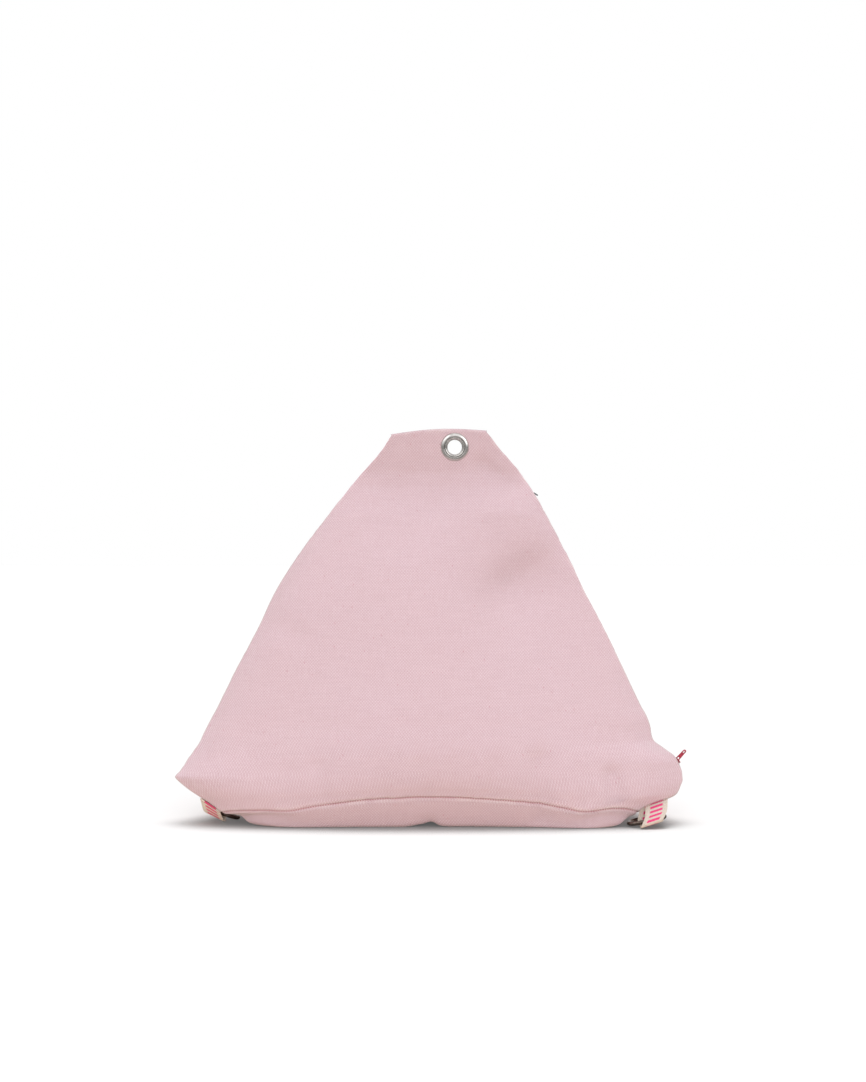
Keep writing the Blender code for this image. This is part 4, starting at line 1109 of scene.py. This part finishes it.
def make_webbing(name, cream, bars):
    """Natural webbing with close ribs, pink bars across its middle and stitching where it is sewn in."""
    r = new_material(name)
    across, along = cloth_place(r)
    u = r.sum("DIVIDE", across, WEBBING_YARN)
    v = r.sum("DIVIDE", along, WEBBING_YARN_ALONG)
    height = r.yarn_height(r.crests(u, v))
    tone = r.clouds(r.place(u, r.times(v, 0.3)), 0.8)
    repeat = r.sum("FRACT", r.sum("DIVIDE", r.sum("ADD", along, BAR_PITCH - BAR_START), BAR_PITCH))
    from_bar = r.sum("ABSOLUTE", r.sum("SUBTRACT", repeat, 0.5))
    from_middle = r.sum("ABSOLUTE", across)
    bar = r.times(
        r.ranged(from_bar, BAR_SHARE / 2 - 0.05, BAR_SHARE / 2 + 0.05, 1.0, 0.0),
        r.ranged(from_middle, BAR_HALF_WIDTH - 0.0006, BAR_HALF_WIDTH + 0.0004, 1.0, 0.0),
    )
    colour = r.mixed(bar, r.toned(tone, 0.3, 0.7, cream), r.toned(tone, 0.35, 0.65, bars))
    stitch_row = r.ranged(r.sum("ABSOLUTE", r.sum("SUBTRACT", along, STITCH_ROW)), 0.0003, 0.0006, 1.0, 0.0)
    stitch = r.times(stitch_row, r.ranged(r.sum("PINGPONG", across, 0.0012), 0.0002, 0.0005))
    colour = r.mixed(stitch, colour, THREAD_COLOUR)
    return r.finish(
        # Painted shade in the gaps between the webbing's yarns.
        Base_Color=r.mixed(r.ranged(height, 0.0, 0.5, 0.22, 0.0), colour, CREAM_GAP_SHADE),
        Roughness=0.88,
        Specular_IOR_Level=0.2,
        Normal=r.bumped(r.sum("ADD", height, r.times(stitch, 1.2)), 0.00022),
        Sheen_Weight=0.2,
        Sheen_Roughness=0.5,
    )


def make_metal(name, colours, roughness):
    """Polished metal with fine scratches and a faint change of tone."""
    r = new_material(name)
    body = r.body()
    stretched = r.add("ShaderNodeMapping", {"Vector": body, "Scale": (1.0, 6.0, 1.0)}).outputs[0]
    scratches = r.clouds(stretched, 900.0, 4.0, 0.65)
    return r.finish(
        Base_Color=r.toned(r.clouds(body, 180.0, 3.0), 0.3, 0.7, colours),
        Metallic=1.0,
        Roughness=r.ranged(scratches, 0.35, 0.75, roughness * 0.75, roughness * 1.5),
        Normal=r.bumped(scratches, 0.00002),
    )


def make_enamel():
    """Crimson enamel on metal, glossy, darker in its hollows and worn a little pale."""
    r = new_material("crimson_enamel")
    tone = r.clouds(r.body(), 420.0, 3.0)
    return r.finish(
        Base_Color=r.toned(tone, 0.35, 0.7, CRIMSON),
        Roughness=r.ranged(tone, 0.3, 0.7, 0.28, 0.45),
        Coat_Weight=0.25,
        Coat_Roughness=0.2,
        Normal=r.bumped(tone, 0.00003),
    )


def make_floor():
    """A plain pale floor. It looks white, as the photograph's background does, lights the pouf as warm
    paper would and is darker in the metal. It is shaded where the pouf stands close over it."""
    r = new_material("pale_floor")
    path = r.add("ShaderNodeLightPath")
    seen = path.outputs["Is Camera Ray"]
    unseen = r.mixed(path.outputs["Is Glossy Ray"], FLOOR_LIGHTING, FLOOR_IN_METAL)
    # Painted shadow: where the pouf stands close over the floor, its colour for the camera is darkened by
    # ambient occlusion.
    shelter = r.add("ShaderNodeAmbientOcclusion", {"Distance": FLOOR_SHADOW_REACH}, samples=8)
    shaded = r.mixed(r.ranged(shelter.outputs["AO"], 0.25, 0.98), FLOOR_SHADOW_COLOUR, FLOOR_SEEN)
    bm = bmesh.new()
    bmesh.ops.create_grid(bm, x_segments=12, y_segments=12, size=FLOOR_SIZE / 2)
    floor = add_object("floor", finish_mesh("floor", bm))
    floor.location = (0, 0, FLOOR_HEIGHT)
    floor.data.materials.append(r.finish(
        Base_Color=r.mixed(seen, unseen, shaded),
        Emission_Color=FLOOR_GLOW,
        Emission_Strength=seen,
        Roughness=r.ranged(r.clouds(r.body(), 40.0), 0.3, 0.7, 0.88, 0.95),
        Specular_IOR_Level=0.0,
    ))


def make_world():
    """A studio that is brighter overhead, dark with soft boxes where polished metal reflects it, and plain
    white where it is seen behind the pouf."""
    world = bpy.data.worlds.new("studio")
    bpy.context.scene.world = world
    w = Recipe(world)

    def light(colour, strength=1.0):
        return w.add("ShaderNodeBackground", {"Color": colour, "Strength": strength}).outputs[0]

    def chosen(share, off, on):
        return w.add("ShaderNodeMixShader", {0: share, 1: off, 2: on}).outputs[0]

    way = w.add("ShaderNodeTexCoord").outputs["Generated"]
    lift = w.add("ShaderNodeSeparateXYZ", {"Vector": way}).outputs["Z"]
    room = light(w.mixed(w.ranged(lift, -0.1, 0.7), ROOM_SIDE, ROOM_TOP))
    brightness = w.ranged(lift, -0.10, 0.45, METAL_ROOM_LOW, METAL_ROOM_HIGH)
    for box in SOFT_BOXES:
        inputs = {0: way, 1: Vector(box.way).normalized()}
        towards = w.add("ShaderNodeVectorMath", inputs, operation="DOT_PRODUCT").outputs["Value"]
        shine = w.ranged(towards, 1 - box.wide * 1.3, 1 - box.wide * 0.7, 0.0, box.strength)
        brightness = w.sum("ADD", brightness, shine)
    path = w.add("ShaderNodeLightPath").outputs
    lighting = chosen(path["Is Glossy Ray"], room, light(WHITE, brightness))
    w.add("ShaderNodeOutputWorld", {"Surface": chosen(path["Is Camera Ray"], lighting, light(WHITE))})


def add_suns():
    """Large soft lights from far away: the way each shines, its strength and its spread."""
    for name, sun in SUNS.items():
        lamp = bpy.data.lights.new(name, "SUN")
        lamp.energy = sun.strength
        lamp.angle = math.radians(sun.spread)
        holder = add_object(name, lamp)
        holder.rotation_mode = "QUATERNION"
        holder.rotation_quaternion = Vector(sun.shines).to_track_quat("-Z", "Y")
        holder.visible_glossy = False


def add_camera():
    data = bpy.data.cameras.new("camera")
    data.sensor_width = SENSOR_MM
    data.lens = SENSOR_MM * FOCAL_PIXELS / FRAME_HEIGHT_PIXELS
    camera = add_object("camera", data)
    camera.location = CAMERA_PLACE
    camera.rotation_euler = (CAMERA_PITCH, 0, 0)
    bpy.context.scene.camera = camera


def corners(box):
    return [list(corner) for corner in box]


add_camera()
nickel = make_metal("nickel", NICKEL, 0.20)
# The rings take the darker copy of the nickel: painted shade and painted reflection under the pouf.
painted_shade_nickel = make_metal("nickel_with_painted_shade", PAINTED_SHADE_NICKEL, 0.22)
cover = build_cover(make_canvas())
cut_out(cover, eyelet_cutter())
build_turned("eyelet_ring", EYELET_PROFILE, 3, nickel, "eyelet")
build_turned("washer_ring", WASHER_PROFILE, 2, nickel, "eyelet_washer")
# The left loop's webbing takes the lighter copies: painted light, as it lies in shade.
painted_light_webbing = make_webbing("natural_webbing_painted_light", PAINTED_LIGHT_CREAM, PAINTED_LIGHT_BAR)
pink_webbing = make_webbing("natural_webbing_pink", CREAM, PINK_BAR)
build_loop("webbing_left", LEFT_LOOP, LEFT_LOOP_SEAT, painted_light_webbing, "loop_left")
build_loop("webbing_right", RIGHT_LOOP, RIGHT_LOOP_SEAT, pink_webbing, "loop_right")
build_ring("oval_left", LEFT_RING_SEAT, painted_shade_nickel, "ring_left")
build_ring("oval_right", RIGHT_RING_SEAT, painted_shade_nickel, "ring_right")
build_zip_parts(make_enamel(), make_metal("dark_steel", STEEL, 0.35))

make_floor()
make_world()
add_suns()
bpy.context.scene.view_settings.view_transform = "Standard"
